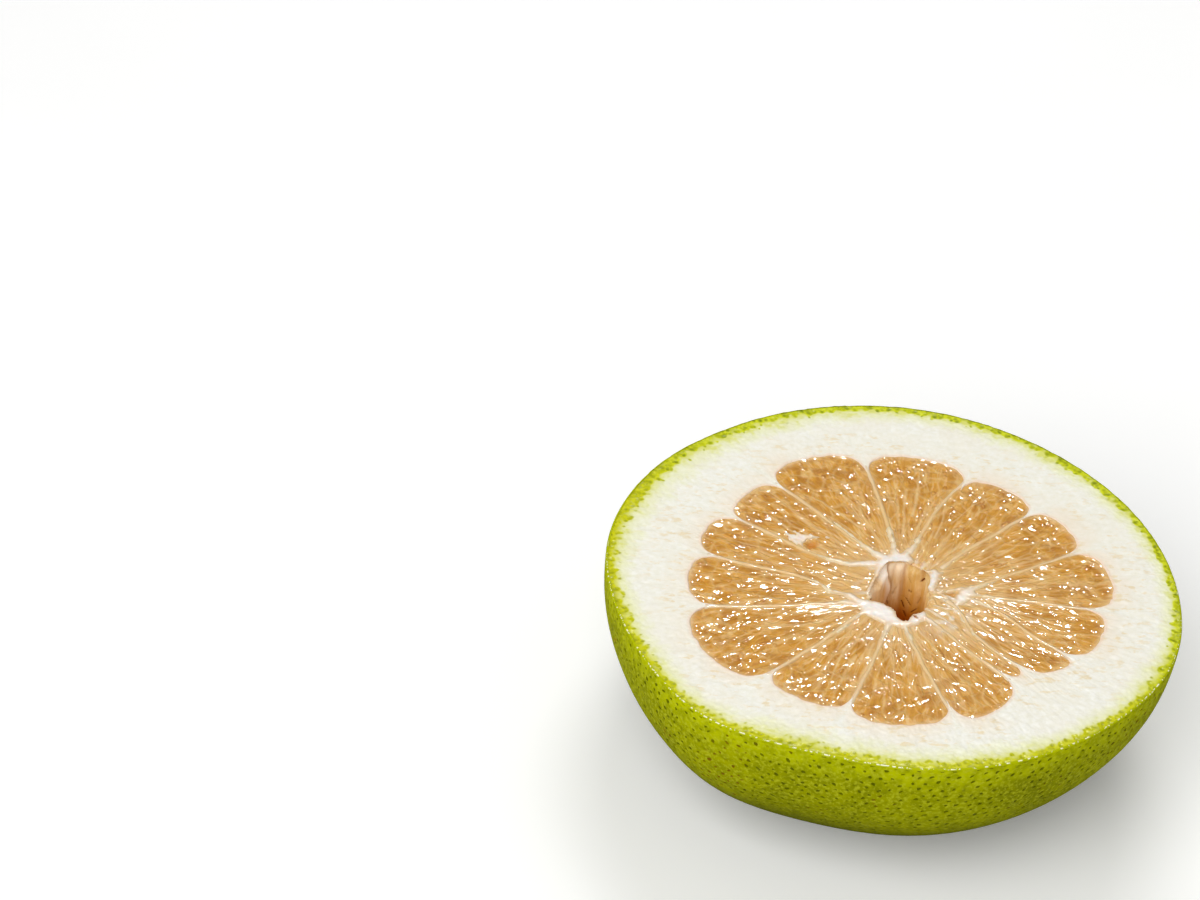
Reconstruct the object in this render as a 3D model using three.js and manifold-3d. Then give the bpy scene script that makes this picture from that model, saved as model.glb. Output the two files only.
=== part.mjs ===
// Half of an oroblanco, a green-skinned cross of pomelo and grapefruit, cut across its widest part.
// It rests on the small flat spot of its blossom end, with the cut face up and level.
// Units are millimetres, +Z is up, and the origin is at the bottom, under the middle of the half.

import * as THREE from "three";
import { mergeVertices } from "three/addons/utils/BufferGeometryUtils.js";
import Module from "manifold-3d";

const wasm = await Module();
wasm.setup();

// ---- Driving dimensions ----

const RIM_RADIUS = 55; // of the cut face
const HEIGHT = 38; // from the flat spot to the cut face
const DOME_DEPTH = 38.6; // where the dome would close if it had no flat spot
const DOME_FULLNESS = 2.4; // superellipse exponent, where 2 is an ellipse
const DOME_LEAN = -0.05; // sideways shift of the dome for each millimetre below the cut
const DOME_STEPS = 20;
const AROUND = 96;

// Gentle swells and flats of the rind round the rim: direction in degrees, height and reach.
const RIM_SWELLS = [
  { at: 26, rise: -0.45, reach: 35 },
  { at: 79, rise: 0.6, reach: 22 },
  { at: 126, rise: -0.4, reach: 11 },
  { at: 196, rise: -0.65, reach: 15 },
  { at: 230, rise: 1.5, reach: 13 },
  { at: 257, rise: -1, reach: 16 },
  { at: 337, rise: 0.9, reach: 17 },
];

const FLESH_SINK = 0.6; // how far the flesh lies below the pith and the membranes
const SEPTUM_THICKNESS = 0.9;
const CROWN_ROUNDNESS = 2.6; // superellipse exponent of a segment's outer end
const CROWN_STEPS = 12;
const CROWN_START = 0.9; // where a segment's outer end starts to round, as a share of its membranes
const TIP_ROUNDING = 0.09; // share of its membranes that rounds off its inner tip

// The fruit's axis lies a little off the middle of the face.
const AXIS = new THREE.Vector2(2.5, -4.3);

// The fifteen membranes between the segments, in order round the axis. Each runs straight from its
// inner end to its outer end in the pith, given as a direction in degrees and a distance from the
// axis. crown is how far from the axis the segment that follows the membrane reaches.
const SEPTA = [
  { inner: [0, 12.6], outer: [22.3, 37.6], crown: 39.2 },
  { inner: [45, 9.2], outer: [44.3, 38.2], crown: 39.6 },
  { inner: [82, 10.6], outer: [67.8, 39], crown: 42.4 },
  { inner: [98.5, 11.6], outer: [98.6, 40.4], crown: 43.8 },
  { inner: [126, 12.6], outer: [127.5, 41], crown: 40.9 },
  { inner: [147, 11.8], outer: [148.8, 39.6], crown: 41 },
  { inner: [186, 11.6], outer: [168.4, 39.4], crown: 41.2 },
  { inner: [203, 11.4], outer: [191.4, 40], crown: 43.5 },
  { inner: [223, 11.6], outer: [224.7, 39], crown: 38.9 },
  { inner: [251, 12.2], outer: [250.1, 37.8], crown: 38.6 },
  { inner: [266, 12.2], outer: [280.7, 35.8], crown: 36.4 },
  { inner: [298.5, 11.6], outer: [305.8, 31], crown: 30.7 },
  { inner: [333, 12.2], outer: [313.8, 30.4], crown: 34.4 },
  { inner: [349, 13.2], outer: [329.5, 34.8], crown: 37.6 },
  { inner: [355.5, 13.4], outer: [354.8, 36.8], crown: 40.2 },
];

// The hollow down the fruit's axis, where the core has shrunk away. Its mouth is uneven.
const HOLLOW_MOUTH = [
  [7.1, -0.6],
  [5.4, 2.8],
  [2.9, 4],
  [-0.3, 3.8],
  [-2.4, -1.2],
  [-4.2, -5],
  [-3, -8.1],
  [-0.6, -9.6],
  [0.9, -12.6],
  [2.8, -13.2],
  [5.2, -10.6],
  [6.5, -6],
];
const HOLLOW_CENTRE = new THREE.Vector3(1.6, -4.6, 0);
const HOLLOW_DEPTH = 21;
const HOLLOW_FULLNESS = 4; // superellipse exponent of its depth profile
const HOLLOW_STEPS = 7;
const HOLLOW_AROUND = 36;
const CUT_CLEARANCE = 2; // how far cutting solids stand above the face

const SKIN = new THREE.MeshStandardMaterial({
  color: 0x9fa81e,
  roughness: 0.42,
  metalness: 0,
});

// ---- Solids from closed geometries ----

function solidFrom(geometry) {
  const bare = geometry.clone();
  bare.deleteAttribute("normal");
  bare.deleteAttribute("uv");
  const merged = mergeVertices(bare, 1e-4);
  return new wasm.Manifold(
    new wasm.Mesh({
      numProp: 3,
      vertProperties: merged.attributes.position.array,
      triVerts: new Uint32Array(merged.index.array),
    }),
  );
}

function geometryFrom(solid) {
  const mesh = solid.getMesh();
  const geometry = new THREE.BufferGeometry();
  geometry.setAttribute(
    "position",
    new THREE.BufferAttribute(mesh.vertProperties, 3),
  );
  geometry.setIndex(new THREE.BufferAttribute(mesh.triVerts, 1));
  geometry.computeVertexNormals();
  return geometry;
}

// Moves each vertex of a geometry by a function of its place.
function reshape(geometry, move) {
  const place = new THREE.Vector3();
  const positions = geometry.attributes.position;
  for (let i = 0; i < positions.count; i++) {
    move(place.fromBufferAttribute(positions, i));
    positions.setXYZ(i, place.x, place.y, place.z);
  }
  return geometry;
}

// ---- The dome with its rind outside ----

function swellAt(angle) {
  return RIM_SWELLS.reduce((sum, swell) => {
    const turn = THREE.MathUtils.euclideanModulo(
      THREE.MathUtils.radToDeg(angle) - swell.at + 180,
      360,
    );
    return sum + swell.rise * Math.exp(-(((turn - 180) / swell.reach) ** 2));
  }, 0);
}

function domeRadiusAt(depth) {
  const closed = (depth / DOME_DEPTH) ** DOME_FULLNESS;
  return RIM_RADIUS * (1 - closed) ** (1 / DOME_FULLNESS);
}

function dome() {
  const profile = [new THREE.Vector2(0, 0)];
  for (let i = DOME_STEPS; i >= 0; i--) {
    const depth = HEIGHT * Math.sin((i / DOME_STEPS) * (Math.PI / 2));
    profile.push(new THREE.Vector2(domeRadiusAt(depth), HEIGHT - depth));
  }
  profile.push(new THREE.Vector2(0, HEIGHT));
  const turned = new THREE.LatheGeometry(profile, AROUND).rotateX(Math.PI / 2);
  return solidFrom(
    reshape(turned, (place) => {
      const radius = Math.hypot(place.x, place.y);
      const swell = swellAt(Math.atan2(place.y, place.x));
      const share = 1 + (swell * radius) / RIM_RADIUS ** 2;
      place.x = place.x * share + DOME_LEAN * (HEIGHT - place.z);
      place.y *= share;
    }),
  );
}

// ---- The segments, each a shallow pocket between two membranes ----

function aboutAxis([degrees, distance]) {
  const angle = THREE.MathUtils.degToRad(degrees);
  return new THREE.Vector2(Math.cos(angle), Math.sin(angle))
    .multiplyScalar(distance)
    .add(AXIS);
}

// A place in the segment after membrane index. across runs from -1 to 1 between the membranes, and
// along from 0 at their inner ends to 1 at their outer ends, and on into the crown.
function placeInSegment(index, across, along) {
  const first = SEPTA[index];
  const second = SEPTA[(index + 1) % SEPTA.length];
  const ends = [first, second].map((septum) =>
    aboutAxis(septum.inner).lerp(aboutAxis(septum.outer), along),
  );
  const width = ends[0].distanceTo(ends[1]);
  const share = Math.max(0, 1 - SEPTUM_THICKNESS / width);
  return ends[0].lerp(ends[1], 0.5 + (across * share) / 2);
}

function roundEnd(across) {
  const reach = Math.min(1, Math.abs(across)) ** CROWN_ROUNDNESS;
  return (1 - reach) ** (1 / CROWN_ROUNDNESS);
}

function segmentPocket(index) {
  const [tip, end] = [0, 1].map((along) =>
    placeInSegment(index, 0, along).distanceTo(AXIS),
  );
  const crownAlong = (SEPTA[index].crown - tip) / (end - tip);
  const outline = [];
  for (let i = 0; i <= CROWN_STEPS; i++) {
    const across = Math.sin((i / CROWN_STEPS - 0.5) * Math.PI);
    const along = CROWN_START + (crownAlong - CROWN_START) * roundEnd(across);
    outline.push(placeInSegment(index, across, along));
  }
  for (let i = CROWN_STEPS; i >= 0; i -= 2) {
    const across = Math.sin((i / CROWN_STEPS - 0.5) * Math.PI);
    const along = TIP_ROUNDING * (1 - roundEnd(across));
    outline.push(placeInSegment(index, across, along));
  }
  const geometry = new THREE.ExtrudeGeometry(new THREE.Shape(outline), {
    depth: FLESH_SINK + CUT_CLEARANCE,
    bevelEnabled: false,
    curveSegments: 1,
  });
  return solidFrom(geometry.translate(0, 0, HEIGHT - FLESH_SINK));
}

// ---- The hollow down the axis ----

function hollow() {
  const profile = [];
  for (let i = 0; i <= HOLLOW_STEPS; i++) {
    const turn = (i / HOLLOW_STEPS) * (Math.PI / 2);
    const radius = Math.sin(turn) ** (2 / HOLLOW_FULLNESS);
    const depth = HOLLOW_DEPTH * Math.cos(turn) ** (2 / HOLLOW_FULLNESS);
    profile.push(new THREE.Vector2(i ? radius : 0, HEIGHT - depth));
  }
  profile.push(new THREE.Vector2(1, HEIGHT + CUT_CLEARANCE));
  profile.push(new THREE.Vector2(0, HEIGHT + CUT_CLEARANCE));
  const turned = new THREE.LatheGeometry(profile, HOLLOW_AROUND).rotateX(Math.PI / 2);
  const corners = HOLLOW_MOUTH.map(([x, y]) => new THREE.Vector3(x, y, 0));
  const mouth = new THREE.CatmullRomCurve3(corners, true);
  return solidFrom(
    reshape(turned, (place) => {
      const share = Math.hypot(place.x, place.y);
      const turn = Math.atan2(place.y, place.x) / (2 * Math.PI);
      const edge = mouth.getPoint(THREE.MathUtils.euclideanModulo(turn, 1));
      const { x, y } = edge.sub(HOLLOW_CENTRE).multiplyScalar(share).add(HOLLOW_CENTRE);
      place.set(x, y, place.z);
    }),
  );
}

// ---- The half fruit ----

let fruit = dome().subtract(hollow());
SEPTA.forEach((_, index) => {
  fruit = fruit.subtract(segmentPocket(index));
});

const half = new THREE.Mesh(geometryFrom(fruit), SKIN);
half.name = "oroblanco_half";
half.geometry.computeBoundingBox();
const middle = half.geometry.boundingBox.getCenter(new THREE.Vector3());
half.position.set(-middle.x, -middle.y, 0);

const part = new THREE.Group();
part.add(half);

export default part;
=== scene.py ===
# %% [markdown]
# # Half of an oroblanco, cut side up
#
# An oroblanco is a cross of pomelo and grapefruit: a flattened green ball with a very thick white
# pith. This lesson dresses a plain solid of one half, which rests on its skin with the cut face
# level. The order is: the outline that every layer shares, small helpers, the stage, and then the
# fruit from the outside in: skin, pith, segments, membranes and the hollow core.
#
# Sizes are in millimetres while a shape is worked out, and become metres where a mesh is made.

# %% Load the fixed frame
import math
from functools import partial

import bmesh
import bpy
import numpy as np
from mathutils import Matrix, Vector, noise


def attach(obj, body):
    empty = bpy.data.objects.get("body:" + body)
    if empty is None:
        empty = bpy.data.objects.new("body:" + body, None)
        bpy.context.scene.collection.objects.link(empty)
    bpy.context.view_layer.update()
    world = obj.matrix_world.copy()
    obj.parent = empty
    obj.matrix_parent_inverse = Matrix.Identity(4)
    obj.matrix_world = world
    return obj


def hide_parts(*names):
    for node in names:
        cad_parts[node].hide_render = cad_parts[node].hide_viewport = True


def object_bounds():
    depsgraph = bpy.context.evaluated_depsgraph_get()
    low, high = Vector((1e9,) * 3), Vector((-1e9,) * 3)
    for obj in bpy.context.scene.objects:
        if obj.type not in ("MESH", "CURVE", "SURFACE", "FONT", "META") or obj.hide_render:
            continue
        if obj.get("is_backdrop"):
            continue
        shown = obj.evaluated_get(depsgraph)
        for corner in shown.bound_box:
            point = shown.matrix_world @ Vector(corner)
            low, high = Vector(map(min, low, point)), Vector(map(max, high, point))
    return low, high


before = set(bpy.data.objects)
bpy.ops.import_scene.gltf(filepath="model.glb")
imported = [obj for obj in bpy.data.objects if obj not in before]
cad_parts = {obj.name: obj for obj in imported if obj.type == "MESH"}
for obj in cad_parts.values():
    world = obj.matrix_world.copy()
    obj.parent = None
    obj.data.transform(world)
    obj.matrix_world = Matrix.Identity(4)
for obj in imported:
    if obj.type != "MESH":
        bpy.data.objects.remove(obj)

cad_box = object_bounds()
MM = 0.001
NODE = "oroblanco_half"
print("frame:", [[round(c / MM, 2) for c in corner] for corner in cad_box])

# %% [markdown]
# ## The outline that every layer follows
#
# The half is a superellipse turned about its axis: fuller than a half ball near the cut, and nearly
# flat underneath. A few broad swells and flats run round it, and the whole dome leans a little. One
# formula could be replaced by a drawn curve, but a formula lets every layer ask for the same place
# at any direction and depth, so that no gap opens between them.

# %% The dome's formula
RIM_RADIUS = 55.0
HEIGHT = 38.0
DOME_DEPTH = 38.6
DOME_FULLNESS = 2.4
DOME_LEAN = -0.05
SWELLS = np.array([
    (26, -0.45, 35), (79, 0.6, 22), (126, -0.4, 11), (196, -0.65, 15),
    (230, 1.5, 13), (257, -1.0, 16), (337, 0.9, 17),
])  # direction in degrees, height and reach


def bell(value, width):
    """1 where a value is 0, falling off smoothly on both sides over a width."""
    return np.exp(-((value / width) ** 2))


def swell(angle):
    """How far the rim stands out of a circle in each direction."""
    turn = (np.degrees(angle)[..., None] - SWELLS[:, 0] + 180) % 360 - 180
    return (SWELLS[:, 1] * bell(turn, SWELLS[:, 2])).sum(-1)


def dome_radius(depth):
    """The dome's mean radius at a depth below the cut."""
    closed = np.clip(depth / DOME_DEPTH, 0, 1) ** DOME_FULLNESS
    return RIM_RADIUS * (1 - closed) ** (1 / DOME_FULLNESS)


def on_dome(angle, radius, depth):
    """A place at a mean radius and a depth, with the swells and the lean put in."""
    share = radius * (1 + swell(angle) * radius / RIM_RADIUS**2)
    x = share * np.cos(angle) + DOME_LEAN * depth
    return np.stack([x, share * np.sin(angle), HEIGHT - depth], -1)


def rim_radius(angle):
    """The rim's distance from the middle of the cut face."""
    return RIM_RADIUS + swell(angle)


# %% Find the middle of the cut face in the frame
around, down = np.meshgrid(np.linspace(0, 2 * np.pi, 720), np.linspace(0, HEIGHT, 200))
shell = on_dome(around, dome_radius(down), down).reshape(-1, 3)
low, high = shell.min(0), shell.max(0)
FACE = np.append(-(low + high)[:2] / 2, 0)
cad_size = (cad_box[1] - cad_box[0]) / MM
print("dome", (high - low).round(2), "frame", [round(c, 2) for c in cad_size], "face", FACE.round(2))

# %% [markdown]
# ## Helpers for shapes
#
# Nothing that grew is even, so most reliefs start from noise. `mathutils.noise` takes one point at a
# time, and the sheets here have a hundred thousand points. So a table of random numbers is read with
# numpy instead, for all points at once, and eased from each number to the next.

# %% Soft noise
NOISE_CELLS = 64  # after which the noise repeats


def ease(low, high, value):
    """0 below low, 1 above high and a smooth rise between."""
    t = np.clip((value - low) / (high - low), 0, 1)
    return t * t * (3 - 2 * t)


def soft_noise(x, y, cell, seed):
    """Smooth noise from -1 to 1, with bumps about one cell wide."""
    table = np.random.default_rng(seed).uniform(-1, 1, (NOISE_CELLS, NOISE_CELLS))
    column, row = np.floor(x / cell).astype(int), np.floor(y / cell).astype(int)
    across, up = ease(0, 1, x / cell - column), ease(0, 1, y / cell - row)
    near, far = (
        table[c % NOISE_CELLS, row % NOISE_CELLS] * (1 - up)
        + table[c % NOISE_CELLS, (row + 1) % NOISE_CELLS] * up
        for c in (column, column + 1)
    )
    return near * (1 - across) + far * across


def line_noise(x, cell, seed):
    """Soft noise along a line."""
    return soft_noise(x, x * 0, cell, seed)


# %% [markdown]
# Most of the cut face is relief: a sheet whose height changes from point to point. Sculpted by hand
# it would be slow to make and couldn't be made again. Instead a grid from `bmesh.ops.create_grid` is
# bent into place by a function of its two coordinates, which run from 0 to 1. The same function hands
# back masks, numbers kept on the vertices, which the finishes read so that colour and relief belong
# together.

# %% Bent grids
SEAM = 0.002  # corners nearer than this are one


def bent_grid(name, columns, rows, bend, closed=False):
    """A mesh made of a grid whose points bend(u, v) places, with the masks that it returns."""
    bm = bmesh.new()
    bmesh.ops.create_grid(bm, x_segments=columns, y_segments=rows, size=1)
    mesh = bpy.data.meshes.new(name)
    bm.to_mesh(mesh)
    bm.free()
    flat = np.empty(len(mesh.vertices) * 3)
    mesh.vertices.foreach_get("co", flat)
    u, v = (flat.reshape(-1, 3)[:, :2].T + 1) / 2
    points, masks = bend(u, v)
    mesh.vertices.foreach_set("co", ((points + FACE) * MM).ravel())
    for mask, values in masks.items():
        kind, field = ("FLOAT", "value") if values.ndim == 1 else ("FLOAT_VECTOR", "vector")
        layer = mesh.attributes.new(mask, kind, "POINT")
        layer.data.foreach_set(field, values.astype(np.float32).ravel())
    if closed:
        bm = bmesh.new()
        bm.from_mesh(mesh)
        bmesh.ops.remove_doubles(bm, verts=bm.verts, dist=SEAM * MM)
        bm.to_mesh(mesh)
        bm.free()
    return mesh


# %% Finished pieces
def finished(name, mesh, finish):
    """Links a mesh as a smooth piece that rides with the fruit and stands for its solid."""
    piece = bpy.data.objects.new(name, mesh)
    bpy.context.scene.collection.objects.link(piece)
    mesh.shade_smooth()
    mesh.materials.clear()
    mesh.materials.append(finish)
    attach(piece, "root")
    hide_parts(NODE)
    print(f"{name}: {sum(len(p.vertices) - 2 for p in mesh.polygons)} triangles")
    return piece


# %% [markdown]
# ## Helpers for finishes
#
# A finish is a small program of nodes. Wired by hand it is hard to read, so a `Signal` wraps a
# node's output and overloads the arithmetic signs: `1 - mask * 0.5` adds the Math nodes by itself.
# Colours never go through Math nodes, which would turn them grey. They are blended with Mix nodes,
# and most finishes are a base colour with others laid over it in turn, as a painter would.

# %% Shader arithmetic
class Signal:
    """A node's output, on which arithmetic adds Math nodes."""

    def __init__(self, finish, socket):
        self.finish, self.socket = finish, socket

    def _math(self, operation, *values):
        return self.finish.node("ShaderNodeMath", {"operation": operation}, dict(enumerate(values)))

    def __add__(self, other):
        return self._math("ADD", self, other)

    def __radd__(self, other):
        return self._math("ADD", other, self)

    def __sub__(self, other):
        return self._math("SUBTRACT", self, other)

    def __rsub__(self, other):
        return self._math("SUBTRACT", other, self)

    def __mul__(self, other):
        return self._math("MULTIPLY", self, other)

    def __rmul__(self, other):
        return self._math("MULTIPLY", other, self)

    def rise(self, low, high):
        """0 below low, 1 above high and a smooth rise between."""
        ends = {"Value": self, "From Min": low, "From Max": high}
        return self.finish.node("ShaderNodeMapRange", {"interpolation_type": "SMOOTHSTEP"}, ends)


# %% Finishes
def tint(code):
    """A colour written as six hex digits, as the linear numbers that a shader takes."""
    parts = (int(code[i : i + 2], 16) / 255 for i in (0, 2, 4))
    return (*(c / 12.92 if c < 0.04045 else ((c + 0.055) / 1.055) ** 2.4 for c in parts), 1.0)


class Finish:
    """A node material. Its keywords are the shader's inputs that stay the same all over."""

    def __init__(self, name, **shader):
        self.material = bpy.data.materials.new(name)
        self.material.use_nodes = True
        self.tree = self.material.node_tree
        self.shader = self.tree.nodes["Principled BSDF"]
        for socket, value in shader.items():
            self.shader.inputs[socket.replace("_", " ")].default_value = value

    def node(self, kind, settings=None, values=None, output=0):
        """Adds a node: its settings are set first, and then its inputs get values or links."""
        made = self.tree.nodes.new(kind)
        for setting, value in (settings or {}).items():
            setattr(made, setting, value)
        for socket, value in (values or {}).items():
            if isinstance(value, Signal):
                self.tree.links.new(value.socket, made.inputs[socket])
            else:
                made.inputs[socket].default_value = value
        return Signal(self, made.outputs[output])

    def feed(self, socket, signal):
        """Links a signal to an input of the shader."""
        self.tree.links.new(signal.socket, self.shader.inputs[socket])

    def mask(self, name, output="Fac"):
        """A number kept on the vertices, or with output Vector a place."""
        return self.node("ShaderNodeAttribute", {"attribute_name": name}, output=output)

    def place(self):
        """The point's own place on the object, in metres."""
        return self.node("ShaderNodeTexCoord", output="Object")

    def stretched(self, place, scale):
        """A place whose axes are multiplied, which squeezes a pattern along them."""
        scaled = {0: place, 1: scale}
        return self.node("ShaderNodeVectorMath", {"operation": "MULTIPLY"}, scaled)

    def grain(self, place, scale, detail=2.0, roughness=0.5):
        """Noise from 0 to 1 with a number of bumps to the metre, about 0.5 on the whole."""
        values = {"Vector": place, "Scale": scale, "Detail": detail, "Roughness": roughness}
        return self.node("ShaderNodeTexNoise", None, values, "Fac")

    def blend(self, factor, first, second):
        """The first colour where factor is 0 and the second where it is 1, as links or hex digits."""
        first, second = (tint(c) if isinstance(c, str) else c for c in (first, second))
        values = {0: factor, 6: first, 7: second}
        return self.node("ShaderNodeMix", {"data_type": "RGBA"}, values, 2)

    def layered(self, colour, *layers):
        """A colour with others laid over it in turn, each given as where it shows and its colour."""
        for shows, over in layers:
            colour = self.blend(shows, colour, over)
        return colour

    def bump(self, height, depth, strength=1.0):
        """Feeds the shader's normals with small relief of a depth in millimetres."""
        values = {"Height": height, "Distance": depth * MM, "Strength": strength}
        bumped = self.node("ShaderNodeBump", None, values)
        self.feed("Normal", bumped)
        self.feed("Coat Normal", bumped)


# %% [markdown]
# ## The stage
#
# A pale floor, a wide soft light in front on the left, and a smaller one behind that brings out the
# relief of the cut face. A last small light shows only in reflections: it gives the glints on the
# wet flesh. The camera looks down on the cut face at a bit under forty degrees, as someone at a
# table does, with its horizon turned slightly.

# %% Camera
CAMERA_FROM_FACE = np.array([-56.9, -423.1, 340.1])
LOOK_DOWN, ROLL = math.radians(36.59), math.radians(2.84)

forward = Vector((0, math.cos(LOOK_DOWN), -math.sin(LOOK_DOWN)))
level, upright = Vector((1, 0, 0)), Vector((1, 0, 0)).cross(forward)
right = level * math.cos(ROLL) + upright * math.sin(ROLL)
up = upright * math.cos(ROLL) - level * math.sin(ROLL)

lens = bpy.data.cameras.new("camera")
lens.lens = 85
lens.sensor_width = 36
lens.clip_start = 0.01
camera = bpy.data.objects.new("camera", lens)
turned = Matrix((right, up, -forward)).transposed().to_4x4()
standing = Vector((CAMERA_FROM_FACE + FACE + (0, 0, HEIGHT)) * MM)
camera.matrix_world = Matrix.Translation(standing) @ turned
bpy.context.scene.collection.objects.link(camera)
bpy.context.scene.camera = camera
print("camera at", [round(c / MM) for c in standing], "mm")


# %% Lights
def area_light(name, place, width, power, diffuse=True, glossy=True):
    """A square soft light that looks at the fruit, with its place and width in metres."""
    data = bpy.data.lights.new(name, "AREA")
    data.size = width
    data.energy = power
    lamp = bpy.data.objects.new(name, data)
    lamp.visible_diffuse, lamp.visible_glossy = diffuse, glossy
    aim = Vector((0, 0, 0.03)) - Vector(place)
    lamp.matrix_world = Matrix.Translation(place) @ aim.to_track_quat("-Z", "Y").to_matrix().to_4x4()
    bpy.context.scene.collection.objects.link(lamp)


area_light("softbox", (-0.55, -0.85, 1.0), width=1.2, power=15.2)
area_light("back", (0.08, 0.5, 0.80), width=0.4, power=2.6, glossy=False)
area_light("glint", (0.08, 0.5, 0.82), width=0.1, power=6.0, diffuse=False)

sky = bpy.data.worlds.new("studio")
sky.use_nodes = True
sky.node_tree.nodes["Background"].inputs["Color"].default_value = (1, 1, 1, 1)
sky.node_tree.nodes["Background"].inputs["Strength"].default_value = 0.28
bpy.context.scene.world = sky
bpy.context.scene.view_settings.view_transform = "Standard"
print("lights:", [lamp.name for lamp in bpy.data.lights])

# %% Floor
FLOOR_HALF = 2  # metres, so that its edges stay out of sight

bm = bmesh.new()
bmesh.ops.create_grid(bm, x_segments=1, y_segments=1, size=FLOOR_HALF)
floor_mesh = bpy.data.meshes.new("floor")
bm.to_mesh(floor_mesh)
bm.free()
floor = bpy.data.objects.new("floor", floor_mesh)
bpy.context.scene.collection.objects.link(floor)
paper = Finish("paper", Roughness=0.9, Emission_Color=(1, 1, 1, 1), Emission_Strength=0.12)
paper.feed("Base Color", paper.blend(paper.grain(paper.place(), 9).rise(0.3, 0.7), "fafaf9", "fcfcfb"))
floor_mesh.materials.append(paper.material)
floor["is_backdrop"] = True
print("floor:", [round(side, 2) for side in floor.dimensions], "m")

# %% [markdown]
# ## The skin
#
# The rind is dotted with oil glands, and each shows outside as a small sunken dash, nearly two
# millimetres from the next. They could be painted on, but low light catches their edges, so they
# are modelled. An icosphere has evenly spread corners. Its lower half, pressed onto the dome so that
# equal areas stay equal, puts a corner where each gland goes. The corners are then shaken, because
# glands don't stand in rows.

# %% Cut an icosphere in half
SKIN_LEVELS = 6
SLIVER = 0.012  # corners nearer than this along the cut are one, on a ball of radius 1

bm = bmesh.new()
bmesh.ops.create_icosphere(bm, subdivisions=SKIN_LEVELS, radius=1)
everything = bm.verts[:] + bm.edges[:] + bm.faces[:]
bmesh.ops.bisect_plane(bm, geom=everything, dist=1e-5, plane_no=(0, 0, 1), clear_outer=True)
bmesh.ops.remove_doubles(bm, verts=bm.verts, dist=SLIVER)
rim = {v for v in bm.verts if v.is_boundary}
ball = np.array([v.co for v in bm.verts])
on_rim = np.array([v in rim for v in bm.verts])
print("skin corners:", len(ball), "of which on the rim:", len(rim))

# %% Share out the dome's area from the bottom up
flat_radii = np.linspace(0, dome_radius(HEIGHT), 40)[:-1]
side_depths = np.linspace(HEIGHT, 0, 400)
radii = np.append(flat_radii, dome_radius(side_depths))
depths = np.append(np.full(len(flat_radii), HEIGHT), side_depths)
bands = np.hypot(np.diff(radii), np.diff(depths)) * (radii[1:] + radii[:-1]) / 2
area_share = np.append(0, bands.cumsum()) / bands.sum()
print("skin area:", round(bands.sum() * 2 * math.pi), "mm2")

# %% Press the corners onto the dome
LIP = 0.4  # radius of the rounded edge between the skin and the cut
SHAKE, MOST_SHAKE = 0.42, 0.62  # typical and greatest shift of a corner
HIGHEST_SHARE = 0.993  # of the area, so that no gland lies on the rim
DIMPLE_DEPTH, DIMPLE_RADIUS = 1.3, 4.0  # of the hollow round the scar underneath

draw = np.random.default_rng(11)
shake = np.clip(draw.normal(0, SHAKE, (len(ball), 2)), -MOST_SHAKE, MOST_SHAKE)
shake *= ~on_rim[:, None] / RIM_RADIUS
even = np.clip(1 + ball[:, 2], 0.0001, 1)  # equal steps up a ball are equal areas


def place_corners():
    """Puts each corner at its share of the area, shaken by its own shift."""
    share = np.where(on_rim, 1, np.clip(even + shake[:, 0] * np.sqrt(even), 0, HIGHEST_SHARE))
    angle = np.arctan2(ball[:, 1], ball[:, 0]) + shake[:, 1] / np.maximum(0.1, np.sqrt(even))
    radius = np.interp(share, area_share, radii)
    depth = np.maximum(np.interp(share, area_share, depths), np.where(on_rim, LIP, 0))
    points = on_dome(angle, np.minimum(radius, dome_radius(depth)), depth)
    points[:, 2] += DIMPLE_DEPTH * bell(radius, DIMPLE_RADIUS)
    for vertex, point in zip(bm.verts, points):
        vertex.co = Vector((point + FACE) * MM)


place_corners()
print("corners pressed onto the dome:", len(bm.verts))

# %% [markdown]
# Shaken corners can pass each other, and the faces between them then fold over. Such corners go back
# to their even places, and the others stay.

# %% Put crossed corners back
FOLDED = 0.6  # a face that looks outwards less than this is folded

bm.normal_update()
bm.verts.index_update()
inmost = Vector((0, 0, HEIGHT * MM))
crossed = set()
for face in bm.faces:
    if face.normal.dot((face.calc_center_median() - inmost).normalized()) < FOLDED:
        crossed.update(vertex.index for vertex in face.verts)
shake[sorted(crossed)] = 0
place_corners()
print("crossed corners put back:", len(crossed))

# %% [markdown]
# Bevelling the corners turns each into a small face, which is stretched into a dash, and then inset
# and sunk twice. Here and there a gland is missing, and some are fainter than others.

# %% Sink the glands
GLAND_SHARE = 20  # how far a pit reaches towards the next one, in percent
GLAND_STEPS = ((0.05, 0.03, 0.55), (0.12, 0.1, 1.0))  # inset, sink and darkness of each step
MISSING_SHARE, FAINT_SHARE = 0.1, 0.15
FAINT, STRONG = 0.3, (0.6, 1)  # darkness of a faint pit and of the others
PIT_SIZES, PIT_LENGTHS = (0.75, 1.1), (0.9, 1.5)  # against the bevelled face

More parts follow.
